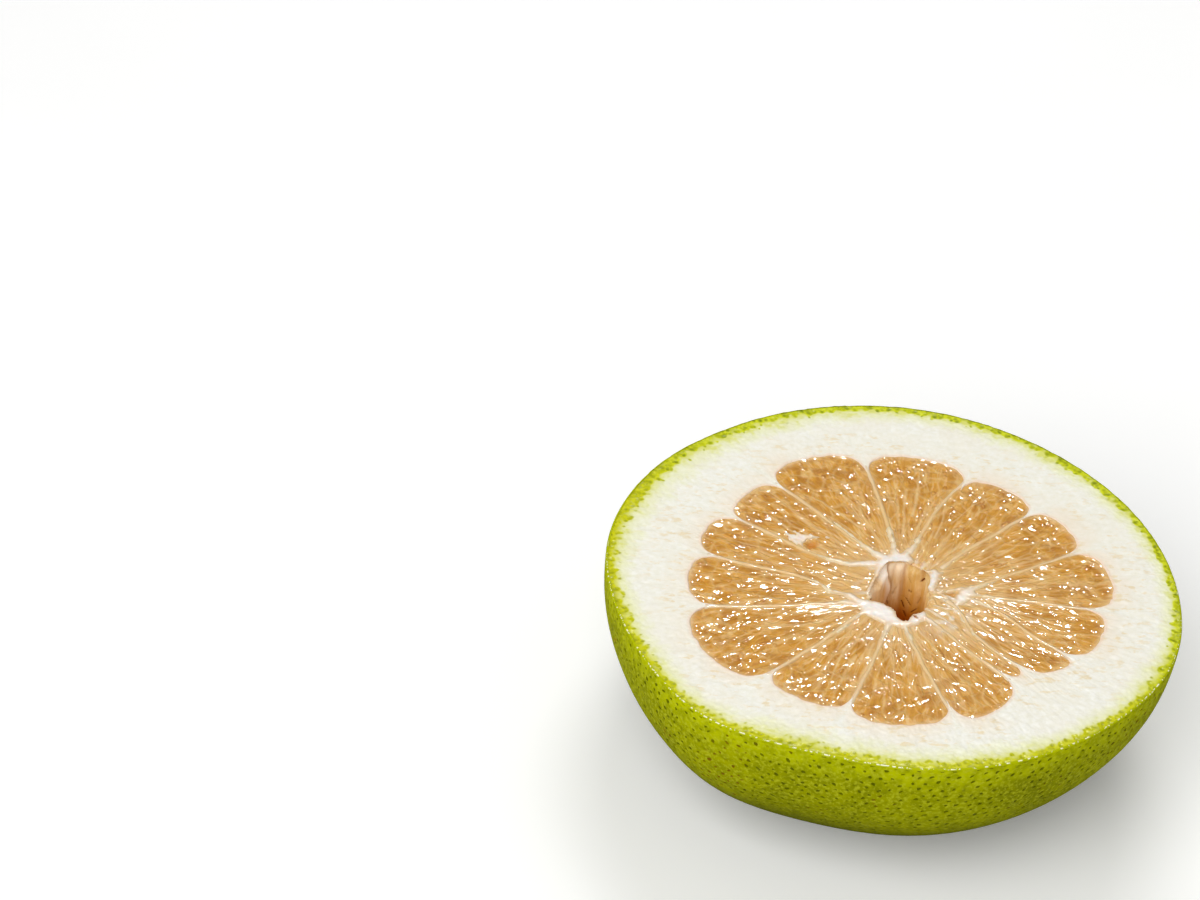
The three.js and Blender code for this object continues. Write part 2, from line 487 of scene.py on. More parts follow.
pitted = bm.verts.layers.float.new("pit")
glands = [v for v in bm.verts if v not in rim and draw.random() > MISSING_SHARE]
bevelled = bmesh.ops.bevel(
    bm, geom=glands, offset=GLAND_SHARE, offset_type="PERCENT", segments=1, profile=0.5,
    affect="VERTICES", clamp_overlap=False, material=-1,
)
pits = bevelled["faces"]
for pit in pits:
    middle = pit.calc_center_median()
    along = (pit.verts[0].co - middle).normalized()
    size, length = draw.uniform(*PIT_SIZES), draw.uniform(*PIT_LENGTHS)
    for vertex in pit.verts:
        arm = vertex.co - middle
        vertex.co = middle + arm * size + along * (arm.dot(along) * size * (length - 1))
strong = draw.random(len(pits)) < 1 - FAINT_SHARE
shown = np.where(strong, draw.uniform(*STRONG, len(pits)), FAINT)
for inset, sink, darkness in GLAND_STEPS:
    bmesh.ops.inset_individual(bm, faces=pits, thickness=inset * MM, depth=-sink * MM)
    for pit, strength in zip(pits, shown):
        for vertex in pit.verts:
            vertex[pitted] = darkness * strength
print("glands:", len(pits))

# %% [markdown]
# The knife leaves no sharp corner: the skin's edge rolls over onto the cut and is a little uneven.
# The open edge is extruded step by step round a quarter turn. Nothing may reach out of the solid's
# box, so the last step holds every corner inside it.

# %% Roll the skin's edge over onto the cut
LIP_STEPS = 5
LIP_INSET = 0.03  # how far the edge stays inside the solid
UNEVENNESS, UNEVEN_SCALE = 0.14, 1.3
HIGHEST_BUMP = 0.02

lip = bm.verts.layers.float.new("lip")
edge = [e for e in bm.edges if e.is_boundary]
for step in range(1, LIP_STEPS + 1):
    turn = step / LIP_STEPS * math.pi / 2
    rolled = bmesh.ops.extrude_edge_only(bm, edges=edge)["geom"]
    edge = [g for g in rolled if isinstance(g, bmesh.types.BMEdge)]
    for vertex in {v for e in edge for v in e.verts}:
        flat = np.array(vertex.co[:2]) / MM - FACE[:2]
        angle = np.arctan2(flat[1], flat[0])
        uneven = UNEVENNESS * noise.noise(Vector((*flat, 0)) * UNEVEN_SCALE)
        reach = float(rim_radius(angle)) - LIP * (1 - math.cos(turn)) - LIP_INSET
        reach += uneven * math.sin(turn)
        top = HEIGHT - LIP * (1 - math.sin(turn)) - LIP_INSET + min(HIGHEST_BUMP, uneven * 0.4)
        place = (reach * math.cos(angle), reach * math.sin(angle), top)
        vertex.co = Vector((np.array(place) + FACE) * MM)
        vertex[lip] = step / LIP_STEPS
for vertex in bm.verts:
    vertex.co = Vector(np.clip(vertex.co, cad_box[0], cad_box[1]))
bmesh.ops.recalc_face_normals(bm, faces=bm.faces)
skin_mesh = bpy.data.meshes.new("skin")
bm.to_mesh(skin_mesh)
bm.free()
print("skin faces:", len(skin_mesh.polygons))

# %% [markdown]
# The skin's finish mixes olive and yellow-green in patches, with finer light flecks between the
# glands, partly painted highlight on the bumps. The pits are darker because oil shows through the
# thin skin at their bottom, and painted shade deepens them; some are rusty. Just under the cut the
# colour is painted brighter, for light that comes through the edge, and lower down it is painted a
# deeper green, as shade under the dome. The surface is waxy: a weak coat over a fairly rough base.
# On the rolled edge the coat grows strong in small beads of juice, which are painted near white at
# the front as glints.

# %% Skin finish
skin = Finish(
    "green_skin", Roughness=0.4, Specular_IOR_Level=0.0, Coat_Weight=0.03, Coat_Roughness=0.2,
    Coat_IOR=1.4,
)
spot = skin.place()
height_mm = skin.node("ShaderNodeSeparateXYZ", None, {0: spot}, "Z") * (1 / MM)
forward_mm = skin.node("ShaderNodeSeparateXYZ", None, {0: spot}, "Y") * (-1 / MM)
patches = skin.grain(spot, 45, 3).rise(0.35, 0.65)
mottles = skin.grain(spot, 520, 2).rise(0.38, 0.62)
# Light flecks: partly the skin's own paler specks, partly painted highlight on the bumps.
flecks = skin.grain(spot, 1500, 3, 0.6).rise(0.46, 0.66) * (0.22 + 0.33 * height_mm.rise(8, 28))
rusty = skin.grain(spot, 75, 2).rise(0.53, 0.64)
scars = skin.grain(spot, 300, 4).rise(0.67, 0.73) * skin.grain(spot, 60, 1).rise(0.48, 0.6)
lip_turn = skin.mask("lip")
crest = lip_turn.rise(0.4, 0.7) * (1 - lip_turn.rise(0.85, 1))
# Beads on the rolled edge: a real stronger coat, and painted glints at the front only.
beads = skin.grain(spot, 1700, 2).rise(0.54, 0.6) * forward_mm.rise(-15, 15)
skin.feed("Base Color", skin.layered(
    skin.blend(patches, "7e8200", "939700"),
    # Painted light: brighter just under the cut, where light comes through the edge.
    (height_mm.rise(31, 37.4) * 0.75, "b4bb00"),
    (mottles * 0.4, "636900"),
    (flecks, "b4b828"),
    # Painted shade: a deeper green lower down the dome, darkest near the floor.
    ((1 - height_mm.rise(12, 30)) * 0.5, "4e4e00"),
    ((1 - height_mm.rise(9, 22)) * 0.75, "343a00"),
    # Pits: darker oil under the skin, deepened with painted shade.
    (skin.mask("pit").rise(0.0, 0.85) * 0.78, skin.blend(rusty, "404600", "6a3a06")),
    (scars * 0.8, "8a5210"),
    (lip_turn.rise(0.1, 0.7), "b2ba06"),
    # Painted glints: near-white beads on the lip's crest.
    (crest * beads, "fbfbd8"),
))
skin.feed("Roughness", 0.36 + 0.2 * patches - 0.22 * lip_turn)
skin.feed("Coat Weight", 0.03 + 0.9 * crest * beads)
skin.bump(skin.grain(spot, 900, 3) + 0.6 * skin.grain(spot, 240, 2), 0.1, 0.6)
finished("skin", skin_mesh, skin.material)

# %% [markdown]
# Underneath, where the flower sat, a small corky scar stands in a shallow dimple. It is out of sight
# while the half rests on it, and is a low button with a puckered star. It could be cut into the skin,
# but it has a colour and a grain of its own, so it is a piece of its own, bent from a grid.

# %% Blossom end
SCAR_RADIUS = 2.3
SCAR_HEIGHT, SCAR_RISE = 0.55, 0.65  # of its middle, and from there to its edge
PUCKER, PUCKERS = 0.12, 5


def bend_scar(u, v):
    """Bends a grid into the scar, round it along u and from its middle to its edge along v."""
    angle, out = u * 2 * np.pi, SCAR_RADIUS * v
    x, y = out * np.cos(angle) + DOME_LEAN * HEIGHT, out * np.sin(angle)
    pucker = PUCKER * np.cos(PUCKERS * angle + 1) * v * (1 - v) * 4
    pucker += 0.06 * soft_noise(x, y, 0.5, 110)
    z = SCAR_HEIGHT + SCAR_RISE * v**2 + pucker
    return np.stack([x, y, z], -1), {"out": v}


scar_mesh = bent_grid("blossom_scar", 48, 14, bend_scar, closed=True)
cork = Finish("cork", Roughness=0.85, Specular_IOR_Level=0.2)
crumbs = cork.grain(cork.place(), 1400, 4, 0.7)
cork.feed("Base Color", cork.layered(
    cork.blend(crumbs.rise(0.35, 0.65), "5e4a22", "a08a50"),
    (cork.mask("out").rise(0.6, 0.95), "6c7012"),
))
cork.bump(crumbs, 0.25, 0.8)
finished("blossom_scar", scar_mesh, cork.material)

# %% [markdown]
# ## Where the segments lie
#
# Fifteen segments stand round the hollow core, with a membrane between each two. Every membrane is
# written down as a few places from its outer end to its inner end, by direction in degrees and
# distance from the core. They are resampled finely and smoothed, so that any later step can ask
# for a membrane's direction at any distance.

# %% The membranes' lines and the segments' ends
CORE = np.array([2.5, -4.3])
MEMBRANES = [  # places from outside to inside; last, how far the segment after it reaches
    ([(22.3, 36.6), (20.2, 29), (16.6, 21.3), (11.1, 15.3), (7, 12.6), (5, 10), (3, 8.4), (-2, 6.6)], 39),
    ([(44.3, 37.2), (45.1, 24.1), (45.8, 14), (43, 9)], 39.4),
    ([(67.8, 38.1), (71.5, 30.8), (73.9, 24.9), (75.2, 21), (78, 15.3), (83, 11.8), (87, 10)], 42.3),
    ([(98.6, 39.5), (97, 21), (96.8, 15), (97.5, 11), (99, 9.2)], 43.8),
    ([(127.5, 40.1), (124.5, 23.5), (121.5, 15.5), (116, 11), (114, 9.4)], 40.5),
    ([(148.8, 38.6), (149, 29), (151.4, 20.7), (150.7, 16.2), (145.1, 12.1), (125.5, 8.9)], 40.9),
    ([(168.4, 38.7), (170.1, 29.4), (171.9, 21.1), (176.7, 16.8), (185, 14.5), (193.6, 10.8),
      (206, 9.6)], 41.2),
    ([(191.4, 39.2), (194, 29.5), (197.5, 18.6), (199.5, 15.5), (201.8, 12.3), (208.5, 10.7)], 43.5),
    ([(224.7, 38), (225.1, 23.3), (222, 12.6), (221, 10.3)], 38.8),
    ([(250.1, 36.8), (251.2, 24.6), (250.9, 12)], 38.6),
    ([(280.7, 34.9), (277.3, 25.7), (273.4, 18.3), (269.3, 13.2), (266.1, 11.3)], 36.3),
    ([(305.8, 30.1), (304, 24.7), (301.8, 19.7), (300, 14.3), (294.7, 9.7), (290.7, 8.1)], 30.3),
    ([(313.8, 29.6), (312.8, 24.5), (314, 18.3), (317.4, 15.3), (337.4, 9.1), (342.8, 6.9)], 34.4),
    ([(329.5, 34.2), (331.9, 27.1), (333.9, 24.6), (341.2, 19.4), (349.6, 14.2), (352, 12.4),
      (345, 9.8), (348.6, 7.8), (354, 6.6)], 37.6),
    ([(354.8, 35.9), (354.9, 30.5), (355.8, 22.4), (357, 14), (353, 12.2), (346, 9.8),
      (349.5, 7.8), (355, 6.6)], 40.2),
]
COUNT = len(MEMBRANES)
LOBE_FULLNESS = 2.55  # superellipse exponent of a segment's outer end
NOTCH_SHARE = 0.93  # of a membrane's length, where the segments' rounded ends meet it
DISTANCES = np.arange(4, 48, 0.25)
LINE_SMOOTHING = 9  # distances that are averaged


def smoothed(values, width):
    """A running mean over an odd number of values, with the ends held."""
    padded = np.pad(values, width // 2, mode="edge")
    return np.convolve(padded, np.ones(width) / width, mode="valid")


lines = []
for places, _ in MEMBRANES:
    degrees, reach = np.array(places).T
    drawn = np.interp(DISTANCES, reach[::-1], degrees[::-1])
    lines.append(np.radians(smoothed(drawn, LINE_SMOOTHING)))
lines.append(lines[0] + 2 * np.pi)
NOTCH = np.array([places[0][1] for places, _ in MEMBRANES + MEMBRANES[:1]]) * NOTCH_SHARE
CROWN = np.array([crown for _, crown in MEMBRANES])
print("segments:", COUNT, "shortest and longest:", CROWN.min(), CROWN.max(), "mm")


# %% A membrane's direction and a segment's end
def membrane_angle(index, distance):
    """A membrane's direction from the core at a distance from it."""
    return np.interp(distance, DISTANCES, lines[index])


def polar(angle, distance):
    """Places about the core, in the face's millimetres."""
    return CORE + np.stack([np.cos(angle), np.sin(angle)], -1) * np.asarray(distance)[..., None]


def lobe(index, across):
    """How far a segment reaches, from one membrane at across 0 to the next at 1."""
    base = NOTCH[index] * (1 - across) + NOTCH[index + 1] * across
    middle = (NOTCH[index] + NOTCH[index + 1]) / 2
    side = np.clip(np.abs(2 * across - 1), 0, 1) ** LOBE_FULLNESS
    return base + (CROWN[index] - middle) * (1 - side) ** (1 / LOBE_FULLNESS)


# %% [markdown]
# The flesh's outer edge can't be read off directly, because a segment's reach depends on how far
# across it a direction lies, and that changes along its slanting membranes. A few rounds of trying
# settle it. In the narrow clefts between two segments the pith runs inwards along the membrane.

# %% The flesh's outer edge
FILLET, FILLET_WIDTH = 1.6, 0.7  # how far the pith runs inwards along a membrane
EDGE_WAVES = 0.2
ROUNDS = 4


def flesh_edge(angle):
    """The flesh's outer edge in any direction from the core, and the way to the next membrane."""
    reach = np.full_like(angle, 40.0)
    for _ in range(ROUNDS):
        edges = np.array([np.interp(reach, DISTANCES, line) for line in lines])
        turned_in = (angle - edges[0]) % (2 * np.pi) + edges[0]
        index = np.clip((turned_in >= edges).sum(0) - 1, 0, COUNT - 1)
        start = np.take_along_axis(edges, index[None], 0)[0]
        end = np.take_along_axis(edges, index[None] + 1, 0)[0]
        reach = lobe(index, (turned_in - start) / (end - start))
    beside = np.minimum(turned_in - start, end - turned_in) * reach
    reach += EDGE_WAVES * line_noise(angle * 40, 1.7, 5) - FILLET * np.exp(-beside / FILLET_WIDTH)
    return reach, beside


flesh, _ = flesh_edge(np.radians(np.arange(360.0)))
print("the flesh reaches", flesh.min().round(1), "to", flesh.max().round(1), "mm from the core")

# %% [markdown]
# ## The cut rind and the pith
#
# The knife leaves a flat ring: a green edge a few millimetres wide, and then soft white pith up to
# the flesh. One closed sheet carries both, because they have no border that could be modelled: the
# green fades raggedly into the white, and the oil glands that were cut lie in it as darker ovals.
# The glands are listed one by one round the rim, at different depths below the skin, with larger
# ones on the far side. Each leaves three masks: its own oval, a tone that sets it apart from its
# neighbours, and a cloud that adds up where glands crowd and carries the green.

# %% The green edge
GREEN_WIDTHS = np.array([  # how far in from the rim the green has half faded, by direction
    (0, 1.7), (15, 1.8), (30, 2.1), (45, 2.5), (75, 2.4), (90, 2.5), (105, 2.8), (120, 2.95),
    (135, 3.35), (150, 3.45), (165, 2.9), (180, 2.35), (195, 2.2), (225, 2.0), (240, 2.8),
    (255, 2.85), (270, 2.6), (285, 2.7), (300, 2.15), (315, 1.85), (330, 2.15), (345, 2.05),
])


def green_width(angle):
    """The green edge is wider where the knife met the rind on more of a slant."""
    return np.interp(np.degrees(angle) % 360, *GREEN_WIDTHS.T, period=360)


def far_side(angle):
    """1 on the sides where the knife left larger glands and the green is less yellow."""
    return ease(-0.35, 0.35, np.sin(angle) + 0.6 * np.cos(angle))


print("green edge:", GREEN_WIDTHS[:, 1].min(), "to", GREEN_WIDTHS[:, 1].max(), "mm")

# %% Oil glands in the cut edge
GLAND_PITCH = 0.66
SMALL_DEPTHS = ((0.2, 0.26), (0.5, 0.3), (0.78, 0.25), (1.0, 0.15), (1.2, 0.04))  # and how often
BIG_GLANDS = np.arange(-25, 165, 1.9)  # directions on the far side, where larger ones show
FAR_GAPS = 0.55  # share of the small ones that the larger ones replace there


def cut_glands():
    """Direction, depth below the skin, half width, length inwards and outwards, and tilt."""
    draw = np.random.default_rng(7)
    count = round(2 * np.pi * RIM_RADIUS / GLAND_PITCH)
    angle = (np.arange(count) + draw.uniform(-0.5, 0.5, count)) * 2 * np.pi / count
    angle = angle[draw.random(count) > FAR_GAPS * far_side(angle)]
    depths, often = np.array(SMALL_DEPTHS).T
    share = draw.choice(depths, len(angle), p=often)
    half = draw.uniform(0.28, 0.58, len(angle))
    big = np.radians(BIG_GLANDS + draw.uniform(-0.7, 0.7, len(BIG_GLANDS)))
    angle, half = np.append(angle, big), np.append(half, draw.uniform(0.46, 0.72, len(big)))
    share = np.append(share, draw.uniform(0.35, 0.75, len(big)))
    depth = green_width(angle) * share * draw.uniform(0.85, 1.15, len(angle))
    inwards = half * draw.uniform(0.9, 1.4, len(angle))
    outwards = half * draw.uniform(1.0, 1.7, len(angle))
    tilt = draw.normal(0, 0.25, len(angle))
    return np.column_stack([angle, depth, half, inwards, outwards, tilt])


CUT_GLANDS = cut_glands()
print("glands in the cut edge:", len(CUT_GLANDS))

# %% The glands' masks
GLAND_SPAN = 2.4  # how far to each side a gland is felt
OVAL_FADE, CLOUD_FADE = 1.1, 0.6
GOLDEN = 0.618  # steps by this share scatter the tones evenly
GREEN_REACH = 0.92


def rind_masks(angle, from_rim):
    """The glands and the green round them, and each gland's own tone, for points near the rim."""
    gland, tone, cloud = (np.zeros_like(angle) for _ in range(3))
    for number, (at, depth, half, inwards, outwards, tilt) in enumerate(CUT_GLANDS):
        turn = (angle - at + np.pi) % (2 * np.pi) - np.pi
        near = np.abs(turn) < GLAND_SPAN / RIM_RADIUS
        inward = from_rim[near] - depth
        aside = turn[near] * RIM_RADIUS + tilt * inward
        oval = (aside / half) ** 2 + (inward / np.where(inward > 0, inwards, outwards)) ** 2
        blob = np.exp(-OVAL_FADE * oval)
        tone[near] = np.where(blob > gland[near], number * GOLDEN % 1, tone[near])
        gland[near] = np.maximum(gland[near], blob)
        cloud[near] += np.exp(-CLOUD_FADE * oval)
    along = angle * RIM_RADIUS
    rough = soft_noise(along, from_rim, 0.8, 8) + soft_noise(along, from_rim * 0.5, 2.4, 9)
    return {"gland": gland, "tone": tone, "cloud": cloud, "rough": rough, "far": far_side(angle),
            "reach": GREEN_REACH * from_rim / green_width(angle)}


# %% [markdown]
# The ring's rows aren't spread evenly. The sheet turns down where it meets the flesh and needs a few
# close rows there. The white pith is plain and needs few. Most rows go to the green edge, whose
# glands are half a millimetre wide.

# %% Where the ring's rows lie
RING_COLUMNS, RING_ROWS = 1480, 62
FLESH_ROWS, WHITE_ROWS = 11, 30  # rows up to the end of the turned edge, and of the white
FLESH_SHARE, WHITE_SHARE = 0.06, 0.55  # shares of the way across that they take
GREEN_SPAN = 2.1  # widths of the green edge that get the close rows
LEAST_WHITE = 0.55  # share of the way across that stays white pith


def rim_from_core(angle):
    """The rim's distance from the core, found by stepping towards it."""
    distance = np.full_like(angle, RIM_RADIUS)
    for _ in range(12):
        x, y = polar(angle, distance).T
        distance += rim_radius(np.arctan2(y, x)) - np.hypot(x, y)
    return distance


def ring_distance(v, angle, inner, outer):
    """Each point's distance from the core, with close rows at the flesh and in the green edge."""
    row = np.arange(RING_ROWS + 1)
    shares = np.interp(row, [0, FLESH_ROWS, WHITE_ROWS, RING_ROWS], [0, FLESH_SHARE, WHITE_SHARE, 1])
    rows = np.interp(v * RING_ROWS, row, smoothed(shares, 5))
    rows = np.where(v < 1e-6, 0, np.where(v > 1 - 1e-6, 1, rows))
    green_start = outer - GREEN_SPAN * green_width(angle)
    green_start = np.maximum(green_start, inner + LEAST_WHITE * (outer - inner))
    in_white = inner + (green_start - inner) * (rows / WHITE_SHARE)
    in_green = green_start + (outer - green_start) * ((rows - WHITE_SHARE) / (1 - WHITE_SHARE))
    return np.where(rows < WHITE_SHARE, in_white, in_green)


print("ring:", RING_COLUMNS, "columns round it and", RING_ROWS, "rows across")

# %% Pith ring
PITH_TUCK = 0.3  # how far the sheet reaches under the flesh's edge
PITH_EDGE_DEPTH, CLEFT_EDGE_DEPTH = 0.9, 0.4  # of its turned edge, and where two segments meet
CLEFT_WIDTH = 1.6
PITH_SINK = 0.13  # mean depth of the pith below the cut
CUP_DEPTH = 0.05  # of a cut gland


def bend_ring(u, v):
    """Bends a grid into the ring, round it along u and from the flesh to the rim along v."""
    angle = (1 - u) * 2 * np.pi
    edge_reach, beside = flesh_edge(angle)
    inner, outer = edge_reach - PITH_TUCK, rim_from_core(angle) - LIP * 0.8
    distance = ring_distance(v, angle, inner, outer)
    x, y = polar(angle, distance).T
    from_flesh = distance - inner - PITH_TUCK
    face_angle = np.arctan2(y, x)
    from_rim = rim_radius(face_angle) - np.hypot(x, y)
    masks = rind_masks(face_angle, from_rim) | {"from_flesh": from_flesh}
    fibres = 0.05 * soft_noise(x, y, 0.8, 1) + 0.06 * soft_noise(x, y, 2.2, 2)
    fibres += 0.035 * soft_noise(x, y, 0.42, 3)
    edge_depth = PITH_EDGE_DEPTH - (PITH_EDGE_DEPTH - CLEFT_EDGE_DEPTH) * bell(beside, CLEFT_WIDTH)
    edge = edge_depth * (1 - ease(-PITH_TUCK, 0.35, from_flesh)) ** 1.8
    z = HEIGHT - PITH_SINK + fibres * ease(0, 1, from_rim) - edge - CUP_DEPTH * masks["gland"] ** 3
    return np.stack([x, y, np.minimum(z, HEIGHT - 0.01)], -1), masks


ring_mesh = bent_grid("cut_rind", RING_COLUMNS, RING_ROWS, bend_ring, closed=True)

# %% [markdown]
# The finish starts from the white pith: a fine cottony grain, creamy in places, with small tan flecks
# and a faint peach tint next to the flesh. A yellow glow reaches a few millimetres in from the green,
# because light travels in the pith, and a stronger haze lies close to it. Then comes the green: two
# tones that change from speck to speck and are lighter further in, and over them the glands, each
# with a tone of its own.

# %% Pith finish
pith = Finish("pith", Roughness=0.55, Specular_IOR_Level=0.05, Coat_Roughness=0.2)
spot = pith.place()
from_flesh = pith.mask("from_flesh")
gland, tone, cloud = pith.mask("gland"), pith.mask("tone"), pith.mask("cloud")
reach, rough, far = pith.mask("reach"), pith.mask("rough"), pith.mask("far")
cotton = pith.grain(spot, 900, 4, 0.6)
cream = pith.grain(spot, 120, 3).rise(0.35, 0.65)
blush = (1 - from_flesh.rise(0.2, 7)) * pith.grain(spot, 90, 3).rise(0.3, 0.7)
flecks = pith.grain(pith.stretched(spot, (1, 2, 1)), 380, 3, 0.6).rise(0.53, 0.68)
flecks = flecks * pith.grain(spot, 80, 2).rise(0.36, 0.56) * (1 - from_flesh.rise(4, 13) * 0.6)
specks = pith.grain(spot, 1700, 3)
glow = 1 - (reach + 0.25 * rough + 0.9 * pith.grain(spot, 260, 3) - 0.45).rise(1.1, 2.6)
haze = 1 - (reach + (0.28 + 0.15 * far) * rough + 0.6 * (specks - 0.5)).rise(0.45, 1.5)
solid = 1.15 - 0.85 * reach + 0.65 * (cloud.rise(0.1, 1.5) - 0.4) + (0.1 + 0.2 * far) * rough
solid = (solid + 0.45 * (specks - 0.5) - 0.08 * far).rise(0.2, 0.75)
dark = pith.blend(far, "a8ab00", "a2ac00")
light = pith.blend(far, "d2d204", "d6dc1c")
fresh = pith.blend((specks + 0.15 * rough + 0.3 * reach).rise(0.35, 0.8), dark, light)
oily = pith.blend(tone, pith.blend(far, "868a00", "748400"), "c4c800")
drawn = (gland + 0.4 * (specks - 0.5)).rise(0.2, 1.0) * (0.3 + 0.7 * solid)
pith.feed("Base Color", pith.layered(
    pith.blend(cotton.rise(0.3, 0.75), "f2f0e1", "fbfaf2"),
    (cream * 0.3, "f3ebd6"),
    (blush * 0.5, "f6e0c4"),
    (flecks * 0.6, "ead29c"),
    ((1 - from_flesh.rise(0.1, 1.1)) * 0.6, "f3d3b8"),
    (glow * 0.45, "e6ea90"),
    (haze * (0.7 - 0.03 * far), "d6d81c"),
    (solid, fresh),
    (drawn * (0.75 + 0.15 * far), oily),
))
pith.feed("Roughness", 0.6 - 0.2 * solid)
pith.feed("Coat Weight", 0.03 + 0.05 * solid)
pith.bump(cotton + 0.8 * pith.grain(spot, 350, 3), 0.12, 0.5)
finished("cut_rind", ring_mesh, pith.material)

# %% [markdown]
# ## The juice sacs
#
# A segment is packed with juice sacs: glassy spindles that point at the core, long and thin near it
# and shorter and rounder at the outer end. The knife opens some, which leaves pale walls standing
# round a shallow cup, and pushes others aside, which bulge. Packing thousands of separate drops would
# be slow and would still need trimming flat. Instead the surface is split into stretched cells: each
# cell is a seed with its own direction, length and width, and each point of the grid belongs to the
# seed that is nearest in that seed's own measure. The same numbers give the height and the masks.

# %% Seeds of the sacs
def sac_seeds(index, draw, width, length):
    """Rows of seeds from the core outwards, each row shifted and shaken."""
    rows, distance = [], 6.0
    while distance < CROWN[index] + 2:
        outward = np.clip((distance - 8) / 32, 0, 1)
        long, wide = length * (1 - 0.62 * outward), width * (0.7 + 0.5 * outward)
        start, end = membrane_angle(index, distance), membrane_angle(index + 1, distance)
        count = max(1, round((end - start) * distance / wide))
        angles = start + (end - start) * (np.arange(count) + draw.uniform(0, 1)) / count
        angles += draw.uniform(-0.4, 0.4, count) * wide / distance
        reach = distance + draw.uniform(-0.5, 0.5, count) * long
        spot = polar(angles, reach)
        side = (angles - (start + end) / 2) / max(0.05, end - start)
        heading = angles + draw.normal(0, 0.15, count) - 0.4 * side * (1 - outward)
        widths = wide * draw.uniform(0.7, 1.35, count)
        lengths = long * draw.uniform(0.65, 1.35, count)
        rows.append(np.column_stack([spot, heading, widths, lengths]))
        distance += long * 0.6
    return np.concatenate(rows)


# %% Cells round the seeds
def along_and_across(dx, dy, heading):
    """An offset measured along a heading and across it."""
    return (dx * np.cos(heading) + dy * np.sin(heading),
            dy * np.cos(heading) - dx * np.sin(heading))


def sac_cells(x, y, seeds):
    """For each point, the nearest seed, its offset along and across it, and the gap to the next."""
    nearest = np.zeros(len(x), int)
    best, second = np.full(len(x), 1e9), np.full(len(x), 1e9)
    for number, (sx, sy, heading, width, length) in enumerate(seeds):
        along, across = along_and_across(x - sx, y - sy, heading)
        far = np.sqrt((along / length) ** 2 + (across / width) ** 2)
        closer = far < best
        second = np.where(closer, best, np.minimum(second, far))
        best = np.where(closer, far, best)
        nearest = np.where(closer, number, nearest)
    sx, sy, heading = seeds[nearest, :3].T
    along, across = along_and_across(x - sx, y - sy, heading)
    return nearest, along, across, second - best


# %% [markdown]
# Each sac stands a little higher or lower than the next and leans a little, and its middle is sunk if
# the knife opened it and bulges if not. A faint ridge runs along its walls. Broader cells over the
# same points stand for the bundles that the sacs grow in. The points are first pushed about by noise,
# so that the walls are wavy.

# %% Relief of the sacs
SAC_WIDTH, SAC_LENGTH = 1.9, 5.6  # near the outer end and near the core
BUNDLE_WIDTH, BUNDLE_LENGTH = SAC_WIDTH * 2.6, 13
OPENED_SHARE = 0.45
OPENED, WHOLE = (-0.1, -0.02), (0.02, 0.11)  # height of a sac's middle over its walls
UNEVEN_LIFT, UNEVEN_ACROSS, UNEVEN_ALONG = 0.03, 0.03, 0.012


def sac_relief(x, y, index, draw):
    """The sacs' height over the mean level of the flesh, and the masks that follow the sacs."""
    seeds = sac_seeds(index, draw, SAC_WIDTH, SAC_LENGTH)
    bundles = sac_seeds(index, draw, BUNDLE_WIDTH, BUNDLE_LENGTH)
    total = len(seeds)
    opened = draw.random(total) < OPENED_SHARE
    bulge = np.where(opened, draw.uniform(*OPENED, total), draw.uniform(*WHOLE, total))
    lift = draw.normal(0, UNEVEN_LIFT, total)
    lean_across, lean_along = draw.normal(0, UNEVEN_ACROSS, total), draw.normal(0, UNEVEN_ALONG, total)
    tone = draw.uniform(0, 1, total)
    bundle_tone = draw.uniform(0, 1, len(bundles))

    wx = x + 0.45 * soft_noise(x, y, 3.4, 21) + 0.1 * soft_noise(x, y, 1.1, 22)
    wy = y + 0.45 * soft_noise(x, y, 3.4, 23) + 0.1 * soft_noise(x, y, 1.1, 24)
    cell, along, across, gap = sac_cells(wx, wy, seeds)
    bundle, _, _, bundle_gap = sac_cells(wx, wy, bundles)
    dome = 1 - np.exp(-gap / 0.34)
    z = lift[cell] + bulge[cell] * dome + lean_across[cell] * across + lean_along[cell] * along
    z += bell(gap, 0.075) * 0.03
    z += 0.06 * soft_noise(x, y, 3.1, 25) + 0.012 * soft_noise(wx, wy, 0.7, 26)
    z += 0.04 * bell(bundle_gap, 0.07)
    patchy = ease(-0.35, 0.45, soft_noise(x, y, 2.6, 28))
    return z, {
        "wall": bell(gap, 0.11) * patchy * (0.15 + 0.85 * tone[cell]),
        "veil": bell(bundle_gap, 0.1) * (0.3 + 0.7 * bundle_tone[bundle]),
        "tone": tone[cell] * dome + 0.5 * (1 - dome),
        "hollowed": opened[cell] * dome,
        "broken": ease(-0.3, 0.5, soft_noise(wx, wy, 1.2, 27)),
    }


print("sacs in a segment: about", len(sac_seeds(0, np.random.default_rng(1), SAC_WIDTH, SAC_LENGTH)))

# %% [markdown]
# Juice beads up on the fresh cut. Each bead is a low smooth cap, and those caps give the small
# bright glints. Their spread is random, and some stand in short rows along the sacs. On the far side,
# which faces the light behind, they are denser and steeper. Round some beads a darker border is
# painted as shade, and the finish reads it.

# %% Beads of juice
BEAD_ROWS_PER_MM2 = 0.15
BEADS_IN_ROW, ROW_CHANCES = (1, 2, 3, 4), (0.56, 0.2, 0.14, 0.1)
NEAR_AND_FAR = (-30, 35)  # between which the beads grow denser and steeper
BEAD_SIZES, BEAD_RISES = (0.25, 0.46), (0.12, 0.2)  # half width, and height as a share of it
LONG_SHARE, LONG_STRETCHES = 0.35, (1.5, 2.6)
BORDERS = (-0.6, 1)  # those below 0 have none
BEAD_SPAN = 1.8  # no bead reaches further than this


